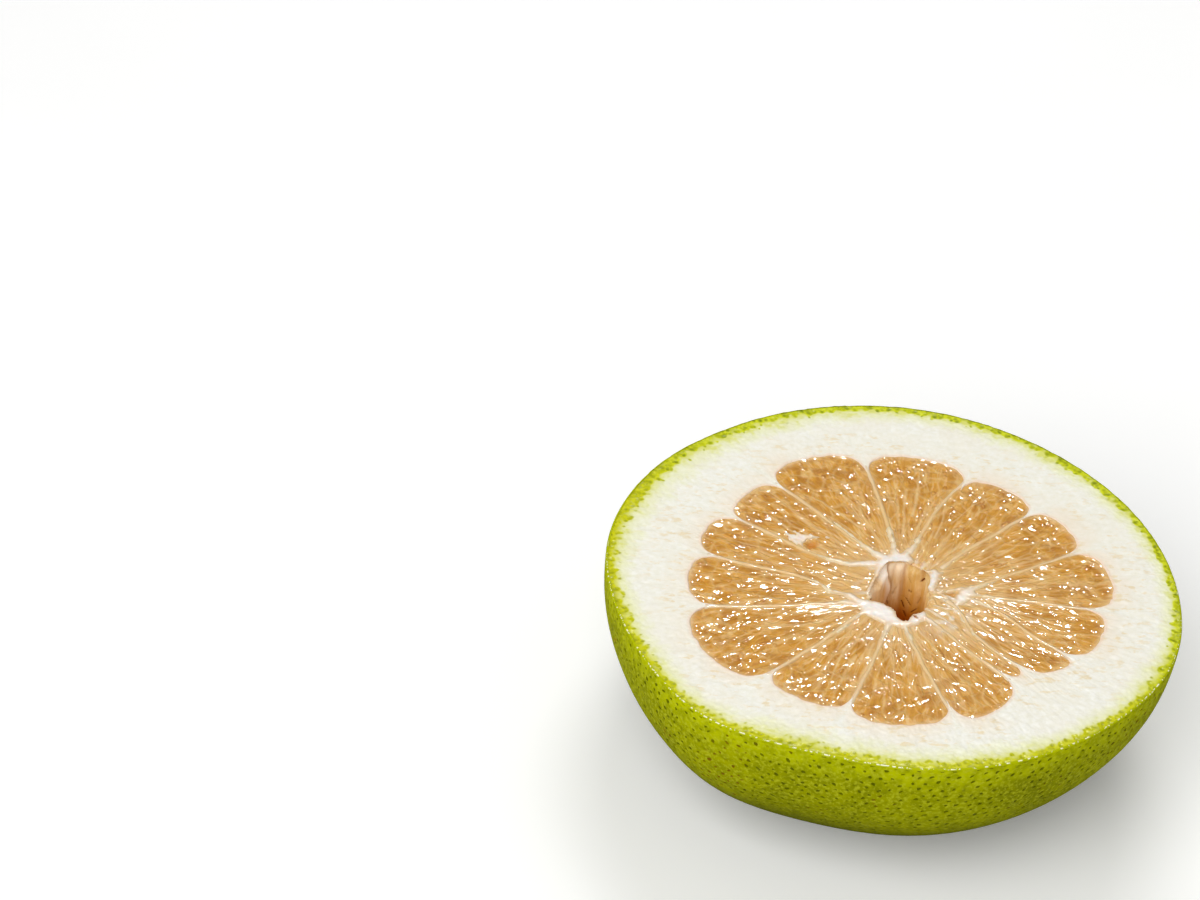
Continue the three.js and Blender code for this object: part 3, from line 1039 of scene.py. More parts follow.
def scattered_beads(low, high, draw):
    """For each bead its place, half width, rise, stretch, heading and how dark its border is."""
    for _ in range(int(np.prod(high - low) * BEAD_ROWS_PER_MM2)):
        px, py = draw.uniform(low, high)
        row = draw.choice(BEADS_IN_ROW, p=ROW_CHANCES)
        wet = float(ease(*NEAR_AND_FAR, py))
        if draw.random() > 0.6 + 0.4 * wet:
            continue
        heading = math.atan2(py - CORE[1], px - CORE[0]) + draw.normal(0, 0.35)
        for _ in range(row):
            size, rise = draw.uniform(*BEAD_SIZES), draw.uniform(*BEAD_RISES) * (1.3 + 0.5 * wet)
            stretch = draw.uniform(*LONG_STRETCHES) if draw.random() < LONG_SHARE else 1.0
            turn, dark = heading + draw.normal(0, 0.3), draw.uniform(*BORDERS)
            yield px, py, size, rise, stretch, turn, dark
            px += (size * stretch + 0.35) * 1.3 * math.cos(heading)
            py += (size * stretch + 0.35) * 1.3 * math.sin(heading)


def bead_field(x, y, draw):
    """The height of the beads at each point in millimetres, and the shade round them."""
    low, high = np.array([x.min(), y.min()]), np.array([x.max(), y.max()])
    height, shade = np.zeros_like(x), np.zeros_like(x)
    for px, py, size, rise, stretch, turn, dark in scattered_beads(low, high, draw):
        near = (np.abs(x - px) < BEAD_SPAN) & (np.abs(y - py) < BEAD_SPAN)
        along, across = along_and_across(x[near] - px, y[near] - py, turn)
        out = (along / (size * stretch)) ** 2 + (across / size) ** 2
        height[near] = np.maximum(height[near], np.clip(1 - out, 0, 1) * rise * size)
        shade[near] = np.maximum(shade[near], max(0, dark) * bell(np.sqrt(out) - 1.05, 0.3))
    return height, shade


# %% [markdown]
# The sacs hang on thin pale stalks, which run out from the inner edge between them. They are drawn
# as long curved strands, each a chain of short pieces that gets thinner outwards.

# %% Stalks between the sacs
STRANDS = 17
STRAND_STEPS = np.linspace(0, 1, 8)
STRAND_LENGTHS, STRAND_WIDTHS = (6, 18), (0.16, 0.42)  # the widths are halves
PIECE_SPAN = 3  # no piece is felt further than this from its middle


def off_piece(x, y, start, end):
    """How far along a straight piece each point lies, from 0 to 1, and its distance from it."""
    px, py, lx, ly = x - start[0], y - start[1], end[0] - start[0], end[1] - start[1]
    along = np.clip((px * lx + py * ly) / (lx * lx + ly * ly), 0, 1)
    return along, np.hypot(px - along * lx, py - along * ly)


def strand_field(x, y, index, draw):
    """How strongly the strands show at each point, from 0 to 1."""
    shown = np.zeros_like(x)
    for _ in range(STRANDS):
        first = draw.uniform(7, 0.6 * CROWN[index])
        reach = first + draw.uniform(*STRAND_LENGTHS) * STRAND_STEPS
        wander = draw.normal(0, 0.16) * STRAND_STEPS**1.5
        wander += np.cumsum(draw.normal(0, 0.012, len(STRAND_STEPS)))
        share = draw.uniform(0.04, 0.96) + wander
        beside = membrane_angle(index, reach), membrane_angle(index + 1, reach)
        path = polar(beside[0] * (1 - share) + beside[1] * share, reach)
        half = draw.uniform(*STRAND_WIDTHS) * (1 - 0.55 * STRAND_STEPS)
        strength = draw.uniform(0.3, 1.0) * (1 - 0.5 * STRAND_STEPS)
        for start, end, wide, strong in zip(path[:-1], path[1:], half, strength):
            mid_x, mid_y = (start + end) / 2
            near = (np.abs(x - mid_x) < PIECE_SPAN) & (np.abs(y - mid_y) < PIECE_SPAN)
            _, far = off_piece(x[near], y[near], start, end)
            shown[near] = np.maximum(shown[near], strong * bell(far, wide))
    return shown


print("stalks in a segment:", STRANDS)

# %% [markdown]
# A segment's face is a grid between its two membranes, from the mouth of the hollow to the rounded
# end in the pith. It tucks a little under its neighbours on every side.

# %% Where a segment's points lie
MOUTH = np.array([
    (10, 4.3), (33, 5.8), (48, 7.0), (68, 7.6), (87, 8.3), (109, 8.6), (124, 7.5), (140, 6.4),
    (168, 6.2), (192, 7.0), (205, 7.2), (215, 6.7), (223, 6.2), (240, 6.2), (251, 7.1), (257, 8.7),
    (263, 9.1), (270, 9.3), (275, 7.8), (286, 6.9), (293, 7.0), (305, 5.6), (336, 4.6),
])


def ring_reach(table, angle):
    """A distance that depends on the direction, read from a table of degrees and millimetres."""
    return np.interp(np.degrees(angle) % 360, table[:, 0], table[:, 1], period=360)


TIPS_AT_NODE, NODE_REACH = (13,), 12.2  # segments that end at a torn knot of tissue, and where
INNER_GAP, OUTER_TUCK = 0.25, 0.55
LOBE_SHARE = 0.975  # of a segment's width that its end is rounded over

print("mouth of the hollow:", MOUTH[:, 1].min(), "to", MOUTH[:, 1].max(), "mm from the core")


def segment_places(index, u, v):
    """Each point's direction and distance, the segment's inner end, and the membranes beside it."""
    level = np.full_like(u, 7.0)
    middle = membrane_angle(index, level) * (1 - u) + membrane_angle(index + 1, level) * u
    inner = ring_reach(MOUTH, middle) + INNER_GAP
    if index in TIPS_AT_NODE:
        inner = np.full_like(u, NODE_REACH)
    outer = lobe(index, 0.5 + (u - 0.5) * LOBE_SHARE) + OUTER_TUCK
    distance = inner + (outer - inner) * v
    start, end = membrane_angle(index, distance), membrane_angle(index + 1, distance)
    return start + np.maximum(end - start, 0.001) * u, distance, inner, start, end


# %% [markdown]
# The relief of the sacs, the strands and the beads are added up, and flatten out towards the
# membranes and the pith, where the flesh clings to them. A white film still covers some of the inner
# ends, and there are two dents: a bruise and a sunken pocket.

# %% Dents and the white film
STAIN, STAIN_RADIUS, STAIN_DEPTH = polar(np.radians(144.8), 21.4), 1.15, 0.4  # by the torn flap
POCKET, POCKET_RADIUS, POCKET_DEPTH = polar(np.radians(355.0), 8.7), 1.2, 0.45  # by the torn knot
FILM_AT, FILM_SPREAD = (318, 11.5), (28, 3.2)  # direction in degrees and distance


def dent(x, y, place, radius):
    """1 inside a round dent and 0 outside, with a short slope between."""
    return np.exp(-(np.hypot(x - place[0], y - place[1]) / radius) ** 4)


def white_film(angle, distance, inner):
    """How much film is left: one large patch, and a ragged border round the mouth."""
    patch = bell(np.degrees(angle) - FILM_AT[0], FILM_SPREAD[0])
    patch *= bell(distance - FILM_AT[1], FILM_SPREAD[1])
    ragged = ease(-0.5, 0.6, soft_noise(angle * 7, distance * 0.4, 0.6, 30))
    return np.maximum(patch, 0.8 * bell(distance - inner, 2.6) * ragged)


print("stain at", STAIN.round(1), "and pocket at", POCKET.round(1), "mm on the face")

# %% Segments
FLESH_LEVEL = 0.36  # mean depth of the flesh below the rim
LOWEST, HIGHEST = -0.9, 0.33  # about that level
SEGMENT_ROWS, COLUMN_WIDTH = 165, 0.16


def bend_segment(index, u, v):
    """Bends a grid into a segment's face, across it along u and outwards along v."""
    draw = np.random.default_rng(100 + index)
    angle, distance, inner, start, end = segment_places(index, u, v)
    x, y = polar(angle, distance).T
    z, masks = sac_relief(x, y, index, draw)
    strands = strand_field(x, y, index, draw)
    beads, shade = bead_field(x, y, draw)
    stain, pocket = dent(x, y, STAIN, STAIN_RADIUS), dent(x, y, POCKET, POCKET_RADIUS)
    z += 0.04 * strands - STAIN_DEPTH * stain - POCKET_DEPTH * pocket

    wall_near = np.minimum(angle - start, end - angle) * distance
    pith_near = np.maximum(lobe(index, u) - distance, 0)
    border = np.minimum(wall_near, pith_near + 0.2)
    z = (z + beads) * ease(-0.1, 0.7, border)
    z = HEIGHT - FLESH_LEVEL + np.clip(z, LOWEST, HIGHEST)
    z += 0.12 * np.exp(-border / 0.5) * ease(8, 12, distance)
    if index not in TIPS_AT_NODE:
        z -= 0.6 * (1 - ease(-0.25, 0.5, distance - inner)) ** 1.5

    masks |= {
        "shade": shade,
        "outward": (distance - 8) / 32,
        "strands": strands,
        "stain": stain,
        "pocket": pocket,
        "film": white_film(angle, distance, inner) * masks.pop("broken"),
        "edge": np.exp(-np.minimum(wall_near, pith_near) / 0.55),
        "flow": np.stack([angle * 22 + 0.5 * soft_noise(x, y, 4.1, 29), distance * 0.13, x * 0], -1),
    }
    return np.stack([x, y, z], -1), masks


segment_meshes = []
for index in range(COUNT):
    span = (membrane_angle(index + 1, 34) - membrane_angle(index, 34)) * 34
    columns = int(np.clip(span / COLUMN_WIDTH, 40, 120))
    bend = partial(bend_segment, index)
    mesh = bent_grid(f"segment_{index + 1:02d}", columns, SEGMENT_ROWS, bend)
    mesh.flip_normals()
    segment_meshes.append(mesh)
print("segments bent:", len(segment_meshes))

# %% [markdown]
# Juice sacs look lit from inside: light goes into them and comes back amber. Subsurface scattering
# gives that glow, and a smooth coat gives the wet shine. The colour follows the cells: deeper amber
# in the middle of each sac and pale along its walls. Fine fibres, light and dark, run from the core
# outwards: their noise reads a mask that follows the segment instead of the point's own place. Near
# the core, where the sacs' thin stalks lie close together, all is paler.

# %% Juice finish
juice = Finish(
    "juice_sacs", Roughness=0.35, Specular_IOR_Level=0.05, Coat_Weight=1.0, Coat_Roughness=0.05,
    Coat_IOR=1.5, Subsurface_Weight=0.3, Subsurface_Radius=(1.0, 0.6, 0.2),
    Subsurface_Scale=0.001,
)
spot = juice.place()
outward = juice.mask("outward")
milky = juice.grain(spot, 150, 2).rise(0.5, 0.75)
cloud = juice.grain(spot, 240, 3).rise(0.44, 0.68)
pool = juice.grain(spot, 520, 2).rise(0.5, 0.75)
fibres = juice.grain(juice.mask("flow", "Vector"), 1.5, 4, 0.6)
juice.feed("Base Color", juice.layered(
    juice.blend(juice.mask("tone"), "d29018", "e2a63c"),
    (milky * 0.45, "eaba6c"),
    (fibres.rise(0.5, 0.64) * 0.7, "f2c888"),
    ((1 - fibres.rise(0.36, 0.5)) * 0.6, "b8761a"),
    (cloud * 0.6, "b4740c"),
    (pool * outward.rise(0.2, 1) * 0.6, "a86a04"),
    (juice.mask("hollowed") * 0.3, "bc7e0c"),
    # Painted shade round some of the beads.
    ((1 - outward.rise(0, 0.45)) * 0.42, "eecb90"),
    (juice.mask("shade") * 0.75, "a45a10"),
    (juice.mask("veil") * 0.5, "ecc684"),
    (juice.mask("wall") * outward.rise(0.2, 0.95) * 0.65, "ecc886"),
    (juice.mask("strands") * 0.75, "efcc92"),
    (juice.mask("edge") * 0.65, "efcb96"),
    (juice.mask("film") * 0.8, "f8ead6"),
    (juice.mask("stain"), "cc801c"),
    (juice.mask("pocket") * 0.8, "cc8c30"),
))
for mesh in segment_meshes:
    finished(mesh.name, mesh, juice.material)

# %% [markdown]
# ## The membranes
#
# Between two segments stands a thin white skin, cut on edge. It widens where it runs into the pith
# and at most inner ends, and is little thicker than card in between. Each is a narrow grid bent along
# the membrane's line, with its sides turned down into the flesh. They grow together, so they are
# joined into one piece.

# %% Membranes
THIN_ENDS = (0, 13, 14)  # membranes that end as thin lines between the torn knot and the mouth
PITH_OVERLAP = 3.6  # how far each runs on into the pith
MEMBRANE_HALF = 0.66  # half its width, turned-down sides and all


def bend_membrane(index, u, v):
    """Bends a grid into a membrane's edge, across it along u and outwards along v."""
    inside = MEMBRANES[index][0][-1][1]
    outside = NOTCH[index] + PITH_OVERLAP
    distance = inside + (outside - inside) * v
    near_core = np.exp(-(distance - inside) / 3.2)
    near_pith = np.exp(-((outside - distance) / 2.2) ** 1.4)
    half = MEMBRANE_HALF + 0.12 * line_noise(distance, 2.3, 40 + index) + 0.8 * near_pith**2
    half += near_core * (-0.2 if index in THIN_ENDS else 0.25)
    side = (u - 0.5) * 2
    wander = 0.1 * line_noise(distance, 3.1, 60 + index)
    angle = membrane_angle(index, distance) + (wander - side * half) / distance
    x, y = polar(angle, distance).T
    crest = 0.06 + 0.05 * line_noise(distance, 1.9, 80 + index)
    z = HEIGHT - 0.1 - crest * (1 - near_pith) - 0.32 * side**2 - 0.6 * side**8
    z -= 0.4 * (1 - ease(0, 1.3, outside - distance)) + 0.5 * (1 - ease(0, 1.5, distance - inside))
    paler = np.exp(-(outside - distance) / 4.5)
    return np.stack([x, y, z], -1), {"near_core": near_core, "paler": paler, "side": np.abs(side)}


def joined(name, meshes):
    """One mesh out of several."""
    bm = bmesh.new()
    for mesh in meshes:
        bm.from_mesh(mesh)
    whole = bpy.data.meshes.new(name)
    bm.to_mesh(whole)
    bm.free()
    return whole


strips = [bent_grid(f"strip_{i}", 10, 160, partial(bend_membrane, i)) for i in range(COUNT)]
membranes_mesh = joined("membranes", strips)
print("membranes joined:", len(strips))

# %% [markdown]
# A membrane is a little see-through, so it takes the amber of the flesh on both sides and turns white
# only where it is thick: near the core and towards the pith.

# %% Membrane finish
thin_skin = Finish(
    "membrane", Roughness=0.4, Specular_IOR_Level=0.1, Coat_Weight=0.4, Coat_Roughness=0.12,
    Subsurface_Weight=0.4, Subsurface_Radius=(1.2, 0.8, 0.5), Subsurface_Scale=0.001,
)
spot = thin_skin.place()
thin_skin.feed("Base Color", thin_skin.layered(
    thin_skin.blend(thin_skin.grain(spot, 500, 3), "ecba76", "f1cc98"),
    (thin_skin.mask("side").rise(0.25, 0.7) * 0.6, "e2b268"),
    (thin_skin.mask("near_core") * 0.7, "f4e0c6"),
    (thin_skin.mask("paler") * 0.9, "f3e0c8"),
))
thin_skin.bump(thin_skin.grain(spot, 800, 3), 0.1, 0.4)
finished("membranes", membranes_mesh, thin_skin.material)

# %% [markdown]
# ## The hollow core
#
# In a ripe fruit the core shrinks and tears, and leaves a hollow with folded walls. Its lining is a
# closed grid that goes down from the mouth. Smaller folds come from a wave and from noise. The larger
# ones, and the slits between them, are listed by direction and depth, because they are few and
# plain to see. The slits are painted dark, as the shade inside narrow cracks.

# %% Folds and slits of the lining
HOLLOW_DEPTH = 21.0
FOLDS = (  # direction in degrees, width in degrees, and how far out
    (98.5, 2.2, 0.45), (86, 2.5, 0.4), (60, 3, 0.25), (92, 4, -0.25),
)
SLITS = [  # direction in degrees, depth, half length, lean and darkness
    (59, 2.4, 0.5, 0.6, 0.9), (78, 3.4, 0.4, -0.7, 0.4), (77, 6.0, 0.12, 0, 0.6),
    (74, 5.9, 0.12, 0, 0.6), (76, 8.6, 0.5, -1.1, 0.8), (83, 10.0, 0.45, -0.5, 0.9),
    (79, 11.8, 0.35, -0.6, 1.0), (77, 13.4, 0.25, -0.9, 0.8), (66, 10.2, 0.5, 0.9, 0.7),
    (60, 7.4, 0.9, 0.3, 0.4), (97, 6.6, 0.9, 0.3, 0.35), (104, 9.6, 0.4, -0.2, 0.6),
]
SLIT_WIDTH = 0.2


def lining_folds(angle, depth):
    """How far the upright folds push the wall out."""
    degrees = np.degrees(angle)
    folds = 0.25 * np.sin(angle * 13 + 1) + 0.25 * soft_noise(angle * 9, depth * 0.3, 2.0, 90)
    for at, width, out in FOLDS:
        slant = 0.35 * depth * (at > 95)
        folds += out * bell(degrees - at - slant, width)
    return folds


def lining_slits(angle, depth):
    """How dark the nearest slit is at each point, from 0 to 1."""
    degrees, slit = np.degrees(angle), np.zeros_like(depth)
    for at, deep, half, lean, darkness in SLITS:
        aside = (degrees - at) * math.radians(1) * 7.8 - lean * (depth - deep)
        off = np.hypot(aside, np.maximum(0, np.abs(depth - deep) - half))
        slit = np.maximum(slit, darkness * bell(off, SLIT_WIDTH))
    return slit


print("folds:", len(FOLDS), "slits:", len(SLITS))

# %% [markdown]
# On the left of the hollow a thick ledge of tissue hangs from the mouth, pushed inwards, with a
# crease along its right edge, painted dark as shade and a brown line, and a white film over its top.

# %% Core lining
MOUTH_DROP = 0.75  # of the lining's edge below the cut
LEDGE_BOTTOM = (8, 11)  # depths between which the ledge ends
LEDGE_OUT = 1.3


def bend_lining(u, v):
    """Bends a grid into the hollow's wall, round it along u and from its floor up along v."""
    angle = (1 - u) * 2 * np.pi
    depth = HOLLOW_DEPTH * (1 - v) ** 1.1
    closing = (1 - (1 - v) ** 4.4) ** 0.25
    degrees = np.degrees(angle)
    folds, slit = lining_folds(angle, depth), lining_slits(angle, depth)

    edge_at = 109 + 3 * np.sin(depth * 0.9) - 0.4 * depth
    ledge = ease(edge_at - 1.5, edge_at + 2, degrees) * (1 - ease(150, 185, degrees))
    ledge *= 1 - ease(*LEDGE_BOTTOM, depth)
    # The crease mask carries painted shade and a brown line.
    crease = bell(degrees - edge_at + 2, 1.8) * (1 - ease(*LEDGE_BOTTOM, depth))
    film = ledge * bell(degrees - edge_at - 5, 6) * (1 - 0.7 * ease(2, 8, depth))
    film = np.maximum(film, ledge * ease(148, 122, degrees) * (1 - ease(1.2, 4.0, depth)))

    sunk = ease(0.3, 1.6, depth)
    folds *= 1 - 0.7 * ledge
    reach = ring_reach(MOUTH, angle) + 0.4 - 0.35 * sunk
    reach += (folds - LEDGE_OUT * ledge) * sunk + 0.3 * slit
    x, y = polar(angle, reach * closing).T
    masks = {
        "tan": ease(82, 88, degrees) * (1 - ease(200, 225, degrees)),
        "depth": depth,
        "slit": slit,
        "groove": ease(0.15, 0.6, folds),
        "ledge": ledge,
        "film": film,
        "crease": crease,
    }
    return np.stack([x, y, HEIGHT - MOUTH_DROP - depth], -1), masks


lining_mesh = bent_grid("core_lining", 220, 80, bend_lining, closed=True)

# %% [markdown]
# The lining is tan on the left and a warmer cream on the right, with upright streaks. It is painted
# darker downwards to a deep amber brown, as the shade deep in the hollow, and darker in its grooves,
# as shade. In the real fruit much of its light comes through the flesh around it, which a solid
# model can't do, so the finish glows a little by itself.

# %% Lining finish
lining = Finish(
    "core_lining", Roughness=0.45, Specular_IOR_Level=0.1, Coat_Weight=0.2, Coat_Roughness=0.15,
    Subsurface_Weight=0.15, Subsurface_Radius=(1.2, 0.8, 0.4), Subsurface_Scale=0.0015,
    Emission_Strength=0.26,
)
spot = lining.place()
tan, depth = lining.mask("tan"), lining.mask("depth")
streaks = lining.grain(lining.stretched(spot, (1, 1, 0.12)), 900, 4, 0.65).rise(0.3, 0.7)
stains = lining.grain(spot, 420, 4, 0.6).rise(0.42, 0.62)
warm = lining.blend(streaks, "cca258", "ead09c")
cool = lining.blend(streaks, "d0ac7c", "ecd6b0")
wall_tone = lining.layered(
    lining.blend(tan, warm, cool),
    (stains * 0.35, "bc8c3a"),
    ((1 - depth.rise(0.6, 4.5)) * tan * 0.75, "f2e0c4"),
    (lining.mask("ledge") * 0.6, "cf9a4c"),
    (lining.mask("film"), "f8ecdc"),
    # Painted shade in the grooves between the folds.
    (lining.mask("groove") * 0.5, "b07830"),
    # Painted shade: darker and browner downwards into the hollow, over these three layers.
    ((1 - tan) * depth.rise(1, 8) * 0.5, "bc7c1c"),
    (depth.rise(3.5, 13) * 0.9, "b07010"),
    (depth.rise(9, 13) * 0.9, "8c3c02"),
    # Painted shade and a brown line along the ledge's crease.
    (lining.mask("crease") * 0.6, "8c5420"),
    # Painted shade in the slits.
    (lining.mask("slit").rise(0.05, 0.8), "642c04"),
)
lining.feed("Base Color", wall_tone)
lining.feed("Emission Color", wall_tone)
lining.bump(streaks, 0.2, 0.5)
finished("core_lining", lining_mesh, lining.material)

# %% [markdown]
# The rest of the core's pith clings round the mouth as torn white tissue, and runs out along the
# membranes like roots. It is drawn as strokes: each goes from place to place and has a width at each.
# A sheet over the middle of the cut rises where a stroke passes and hides below the flesh elsewhere,
# so strokes that meet flow together, as torn tissue does.

# %% Strokes of torn tissue
STROKES = [  # places as direction, distance and half width
    [(127, 8.2, 0.6), (118, 8.6, 1.0), (108, 9.2, 1.3), (96, 9.3, 1.4), (87, 9.1, 1.1), (82, 9.3, 0.7)],
    [(112, 10, 0.8), (116, 11.5, 0.75), (120, 15, 0.5), (121.5, 19, 0.35), (123, 24, 0.15)],
    [(97, 10.5, 0.8), (97, 13, 0.65), (96.6, 17.5, 0.5), (96.5, 23, 0.15)],
    [(87, 10.3, 0.8), (82.8, 12, 0.6), (78, 15.5, 0.48), (75, 21.5, 0.15)],
    [(118, 8.8, 0.6), (127, 9.4, 0.75), (145, 12.3, 0.7), (150.5, 16.4, 0.5), (151, 22, 0.15)],
    [(196, 10.8, 0.5), (206, 10.1, 0.8), (216, 9.3, 1.5), (228, 9.0, 2.1), (240, 8.9, 1.9),
     (250, 9.6, 1.3), (258, 10.2, 0.9), (267, 10.3, 0.8), (277, 9.2, 0.9), (287, 8.1, 0.9),
     (294, 7.4, 0.5)],
    [(200, 10.3, 0.6), (193.6, 10.9, 0.6), (185, 14.6, 0.45), (176.7, 16.9, 0.35), (172, 22, 0.12)],
    [(208, 10.6, 0.6), (201.8, 12.4, 0.5), (199.5, 15.6, 0.35), (196, 21, 0.12)],
    [(221, 10.8, 0.8), (222.5, 13, 0.5), (224.7, 19, 0.3), (225, 24, 0.12)],
    [(250.5, 11, 0.7), (251, 14, 0.4), (251.2, 20, 0.15)],
    [(266, 11, 0.6), (269.5, 13.4, 0.4), (273.4, 18.5, 0.3), (277, 25, 0.12)],
    [(290, 8.2, 0.5), (295, 9.9, 0.45), (300, 14.4, 0.3), (302, 20, 0.15)],
    [(54, 7.3, 0.35), (45, 8.2, 0.8), (38, 7.2, 1.0), (28, 6.1, 0.9), (16, 5.0, 0.85), (4, 4.8, 0.75),
     (357, 5.5, 0.5)],
    [(42, 7.9, 0.5), (38, 9.4, 0.2)],
    [(31, 6.7, 0.5), (27, 8.1, 0.2)],
    [(18, 5.6, 0.45), (12, 7.0, 0.2)],
    [(340, 10.1, 0.6), (350, 10.8, 1.1), (359, 11.5, 1.2), (5, 12.6, 0.85), (9, 14.3, 0.45),
     (12, 17.3, 0.25), (16, 22, 0.1)],
    [(358, 12.6, 0.6), (357, 15, 0.4), (356, 20, 0.25), (355, 27, 0.1)],
    [(352, 12, 0.5), (349, 14.4, 0.4), (341, 19.5, 0.28), (334, 25, 0.12)],
    [(343, 10.5, 0.4), (336, 10.2, 0.3), (322, 12.9, 0.28), (315, 17, 0.25), (313, 24, 0.1)],
    [(6, 11, 0.4), (4, 8.8, 0.22), (359, 6.9, 0.3)],
    [(345, 9.6, 0.4), (348, 7.9, 0.22), (354, 6.6, 0.3)],
    [(343.5, 7, 0.2), (340, 7.6, 0.3)],
    [(333.5, 8.4, 0.2), (331, 9.1, 0.35), (329.5, 9.8, 0.2)],
    [(320, 6.6, 0.2), (327, 9.5, 0.28), (331, 11.5, 0.12)],
    [(200, 7.5, 0.35), (190, 7.3, 0.25), (168, 6.5, 0.22), (150, 6.5, 0.25), (138, 6.9, 0.4),
     (126, 7.9, 0.6)],
    [(88, 8.6, 0.25), (80, 8.5, 0.12)],
    [(60, 7.6, 0.1), (54, 7.3, 0.3)],
    [(306, 7.2, 0.25), (310, 10.5, 0.25), (311, 14, 0.1)],
]
TISSUE_SLIT = [[(279, 7.7, 0.22), (281, 8.5, 0.22)]]
TISSUE_SWELL = 1.25  # what the drawn widths are multiplied by
OUTSIDE = -9.0


def tissue_field(x, y, strokes):
    """How far each point lies inside the nearest stroke, in millimetres: negative outside."""
    inside = np.full_like(x, OUTSIDE)
    for stroke in strokes:
        degrees, reach, half = np.array(stroke).T
        line = np.column_stack([polar(np.radians(degrees), reach), half])
        for (*start, first), (*end, second) in zip(line[:-1], line[1:]):
            along, far = off_piece(x, y, start, end)
            depth = TISSUE_SWELL * (first + (second - first) * along) - far
            fused = 0.12 * bell(inside - depth, 0.3) * (inside > -2)
            inside = np.maximum(inside, depth) + fused
    return inside


print("strokes:", len(STROKES), "places:", sum(len(stroke) for stroke in STROKES))

# %% [markdown]
# The sheet starts under the mouth's edge, turns over it, and runs outwards. In front it hangs further
# down into the hollow, as if the knife had pulled it there.

# %% Torn tissue
TISSUE_REACH = 27.0
TURNED_SHARE = 0.12  # of the sheet's rows, which turn down into the hollow
HANG, FRONT_HANG = 0.8, 1.0  # how far down it hangs, and how much more in front
TISSUE_TOP = 0.1  # depth of the tissue's top below the cut
HIDDEN_DEPTH = 1.6


def bend_tissue(u, v):
    """Bends a grid into the torn tissue, round the mouth along u and outwards along v."""
    angle = (1 - u) * 2 * np.pi
    degrees = np.degrees(angle)
    front = ease(175, 195, degrees) * (1 - ease(292, 305, degrees))
    jag = 0.28 * line_noise(angle * 14, 1.0, 91) + 0.22 * line_noise(angle * 50, 1.0, 92)
    mouth = ring_reach(MOUTH, angle) + jag * (0.3 + 0.7 * front)
    turned = np.clip(v / TURNED_SHARE, 0, 1)
    outward = np.clip((v - TURNED_SHARE) / (1 - TURNED_SHARE), 0, 1) ** 1.5
    distance = mouth + (TISSUE_REACH - mouth) * outward + 0.55 * (1 - turned) ** 1.5
    x, y = polar(angle, distance).T
    ragged = 0.18 * soft_noise(x, y, 0.9, 95) + 0.1 * soft_noise(x, y, 0.42, 96)
    depth = tissue_field(x, y, STROKES) + ragged
    risen = ease(-0.5, 0.05, depth)
    tucked = 1.5 * (1 - risen) * np.exp(-(distance - mouth) / 1.5)

    x, y = polar(angle, distance + tucked).T
    lumps = 0.08 * soft_noise(x, y, 1.4, 97) + 0.025 * soft_noise(x, y, 0.6, 98)
    slit = ease(-0.1, 0.15, tissue_field(x, y, TISSUE_SLIT))
    z = HEIGHT - TISSUE_TOP - 0.24 * (1 - ease(-0.15, 0.7, depth)) - HIDDEN_DEPTH * (1 - risen)
    z += lumps * risen
    z -= 0.4 * slit
    z -= (HANG + FRONT_HANG * front) * (1 - turned) ** 1.2
    masks = {
        "under": 1 - turned,
        "depth": depth,
        "front": front,
        "far": (distance - 10) / 14,
        "slit": slit,
        "amber": ease(90, 82, degrees) + ease(340, 350, degrees),
    }
    return np.stack([x, y, np.minimum(z, HEIGHT - 0.02)], -1), masks


tissue_mesh = bent_grid("core_tissue", 560, 76, bend_tissue, closed=True)

# %% [markdown]
# Torn tissue is white where it is thick and lets the amber below through where it is thin, towards
# the ends of its roots and in spots. Where it turns down into the hollow it is painted: in front dark
# brown, for the shadow under the lip and a brown stain, and behind pale against the shade of its
# overhang, amber on the right. Its slit is painted dark as shade.

# %% Torn tissue finish
torn = Finish(
    "torn_tissue", Roughness=0.5, Specular_IOR_Level=0.2, Coat_Weight=0.25, Coat_Roughness=0.2,
    Subsurface_Weight=0.4, Subsurface_Radius=(1.5, 1.0, 0.7), Subsurface_Scale=0.001,
)
spot = torn.place()
amber, front = torn.mask("amber"), torn.mask("front")
thick = torn.mask("depth").rise(0.0, 1.3)
thin_spots = torn.grain(spot, 230, 3, 0.6).rise(0.52, 0.66) * (1 - thick * 0.5)
under = (torn.mask("under") + 0.3 * front).rise(0.3, 0.75)
# Underside: painted shadow with a brown stain in front, painted pale behind against its shade.
underside_shade_and_stain = torn.blend(front, torn.blend(amber, "f8e4c8", "e0ac58"), "7a2c06")
torn.feed("Base Color", torn.layered(
    torn.blend(thick, torn.blend(amber, "eac088", "dcaa5a"), "f7ece2"),
    (thin_spots * 0.45, "edc898"),
    (torn.mask("far").rise(-0.1, 0.5) * 0.9, "efcf98"),
    (torn.grain(spot, 600, 3) * 0.3, "fff8f0"),
    (under * 0.95, underside_shade_and_stain),
    # Painted shade in the tissue's slit.
    (torn.mask("slit") * 0.95, "9a4a18"),
))
torn.bump(torn.grain(spot, 500, 4), 0.2, 0.5)
finished("core_tissue", tissue_mesh, torn.material)

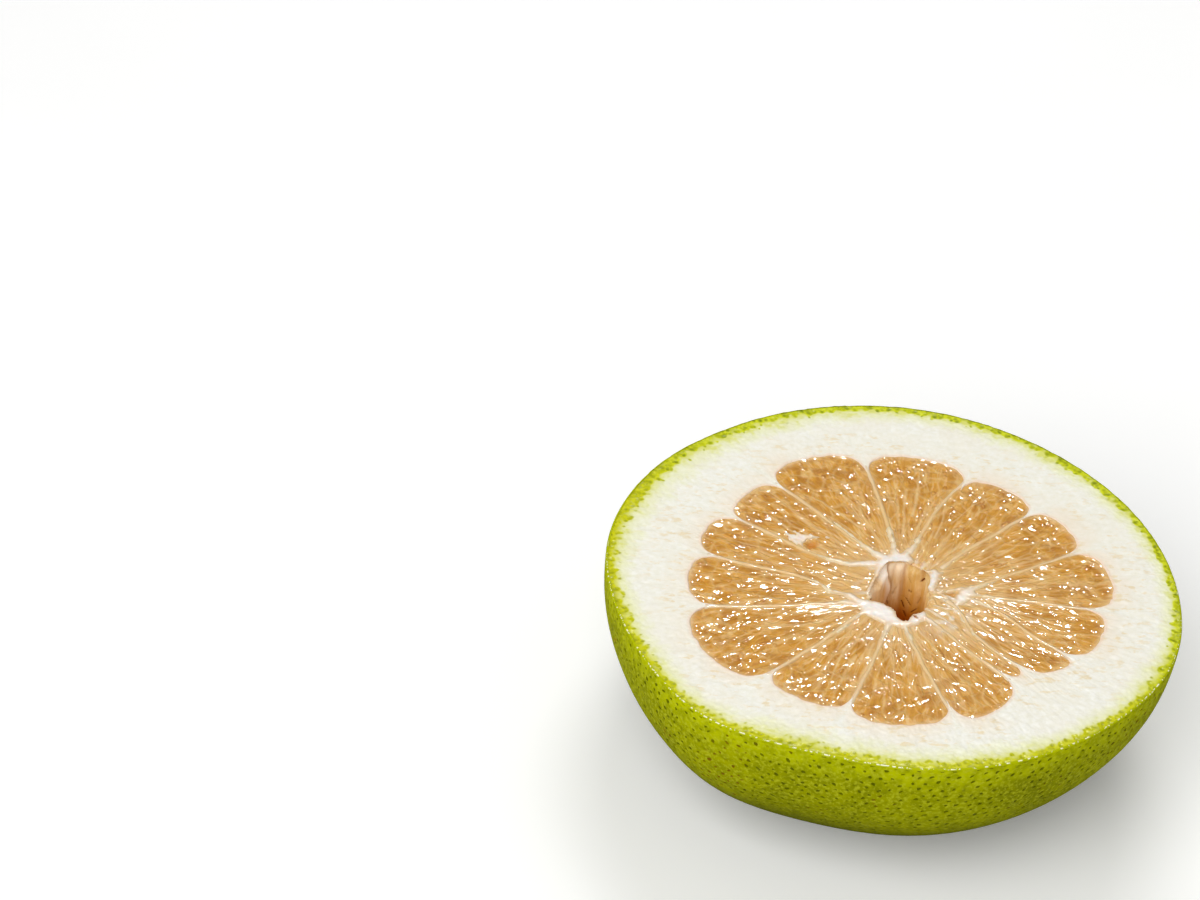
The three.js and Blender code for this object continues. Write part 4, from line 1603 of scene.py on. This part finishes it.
# %% [markdown]
# One membrane was torn by the knife, and a flap of it lies on the flesh. It is the same kind of sheet
# on a grid of its own: what rises out of the flesh is the flap, and the rest stays hidden. It shares
# the torn tissue's finish, so it carries the same masks, most of them at 0.

# %% Torn flap
FLAP = [  # strokes as direction, distance and half width
    [(146, 28.2, 0.2), (145.7, 26.8, 0.55), (145.7, 25.3, 0.95), (144.4, 24.1, 1.1), (142, 23.6, 0.8),
     (139.8, 22.9, 0.6), (137.6, 22, 0.35), (134.5, 20.9, 0.2), (131, 19.8, 0.12)],
    [(142, 26, 0.5), (142.8, 25, 0.75)],
    [(147.4, 25, 0.6), (148, 23.9, 0.65), (147.4, 23, 0.5)],
]
FLAP_MIDDLE = polar(np.radians(141.0), 23.6)
FLAP_REACH = (7.5, 5.25)  # half the sheet's length and width


def bend_flap(u, v):
    """Bends a grid into the flap, over a rectangle of the flesh."""
    x = FLAP_MIDDLE[0] + (2 * u - 1) * FLAP_REACH[0]
    y = FLAP_MIDDLE[1] + (2 * v - 1) * FLAP_REACH[1]
    ragged = 0.3 * soft_noise(x, y, 0.8, 101) + 0.2 * soft_noise(x, y, 0.4, 102)
    depth = tissue_field(x, y, FLAP) + ragged
    folds = 0.08 * soft_noise(x * 0.6 + y, y * 0.3 - x, 0.7, 103)
    z = HEIGHT - 0.1 + folds - 1.3 * (1 - ease(-0.3, 0.5, depth))
    none = np.zeros_like(x)
    masks = {"depth": depth, "far": none + 0.05}
    masks |= {mask: none for mask in ("under", "front", "slit", "amber")}
    return np.stack([x, y, np.minimum(z, HEIGHT - 0.02)], -1), masks


flap_mesh = bent_grid("torn_flap", 110, 80, bend_flap)
finished("torn_flap", flap_mesh, torn.material)

# %% [markdown]
# ## The boxes
#
# The dressed fruit's box and its solid's box are both printed.

# %% Sizes and finish
boxes = {"cad": cad_box, "visual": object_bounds()}
{name: [list(corner) for corner in box] for name, box in boxes.items()}
print({name: [[round(c / MM, 2) for c in corner] for corner in box] for name, box in boxes.items()})
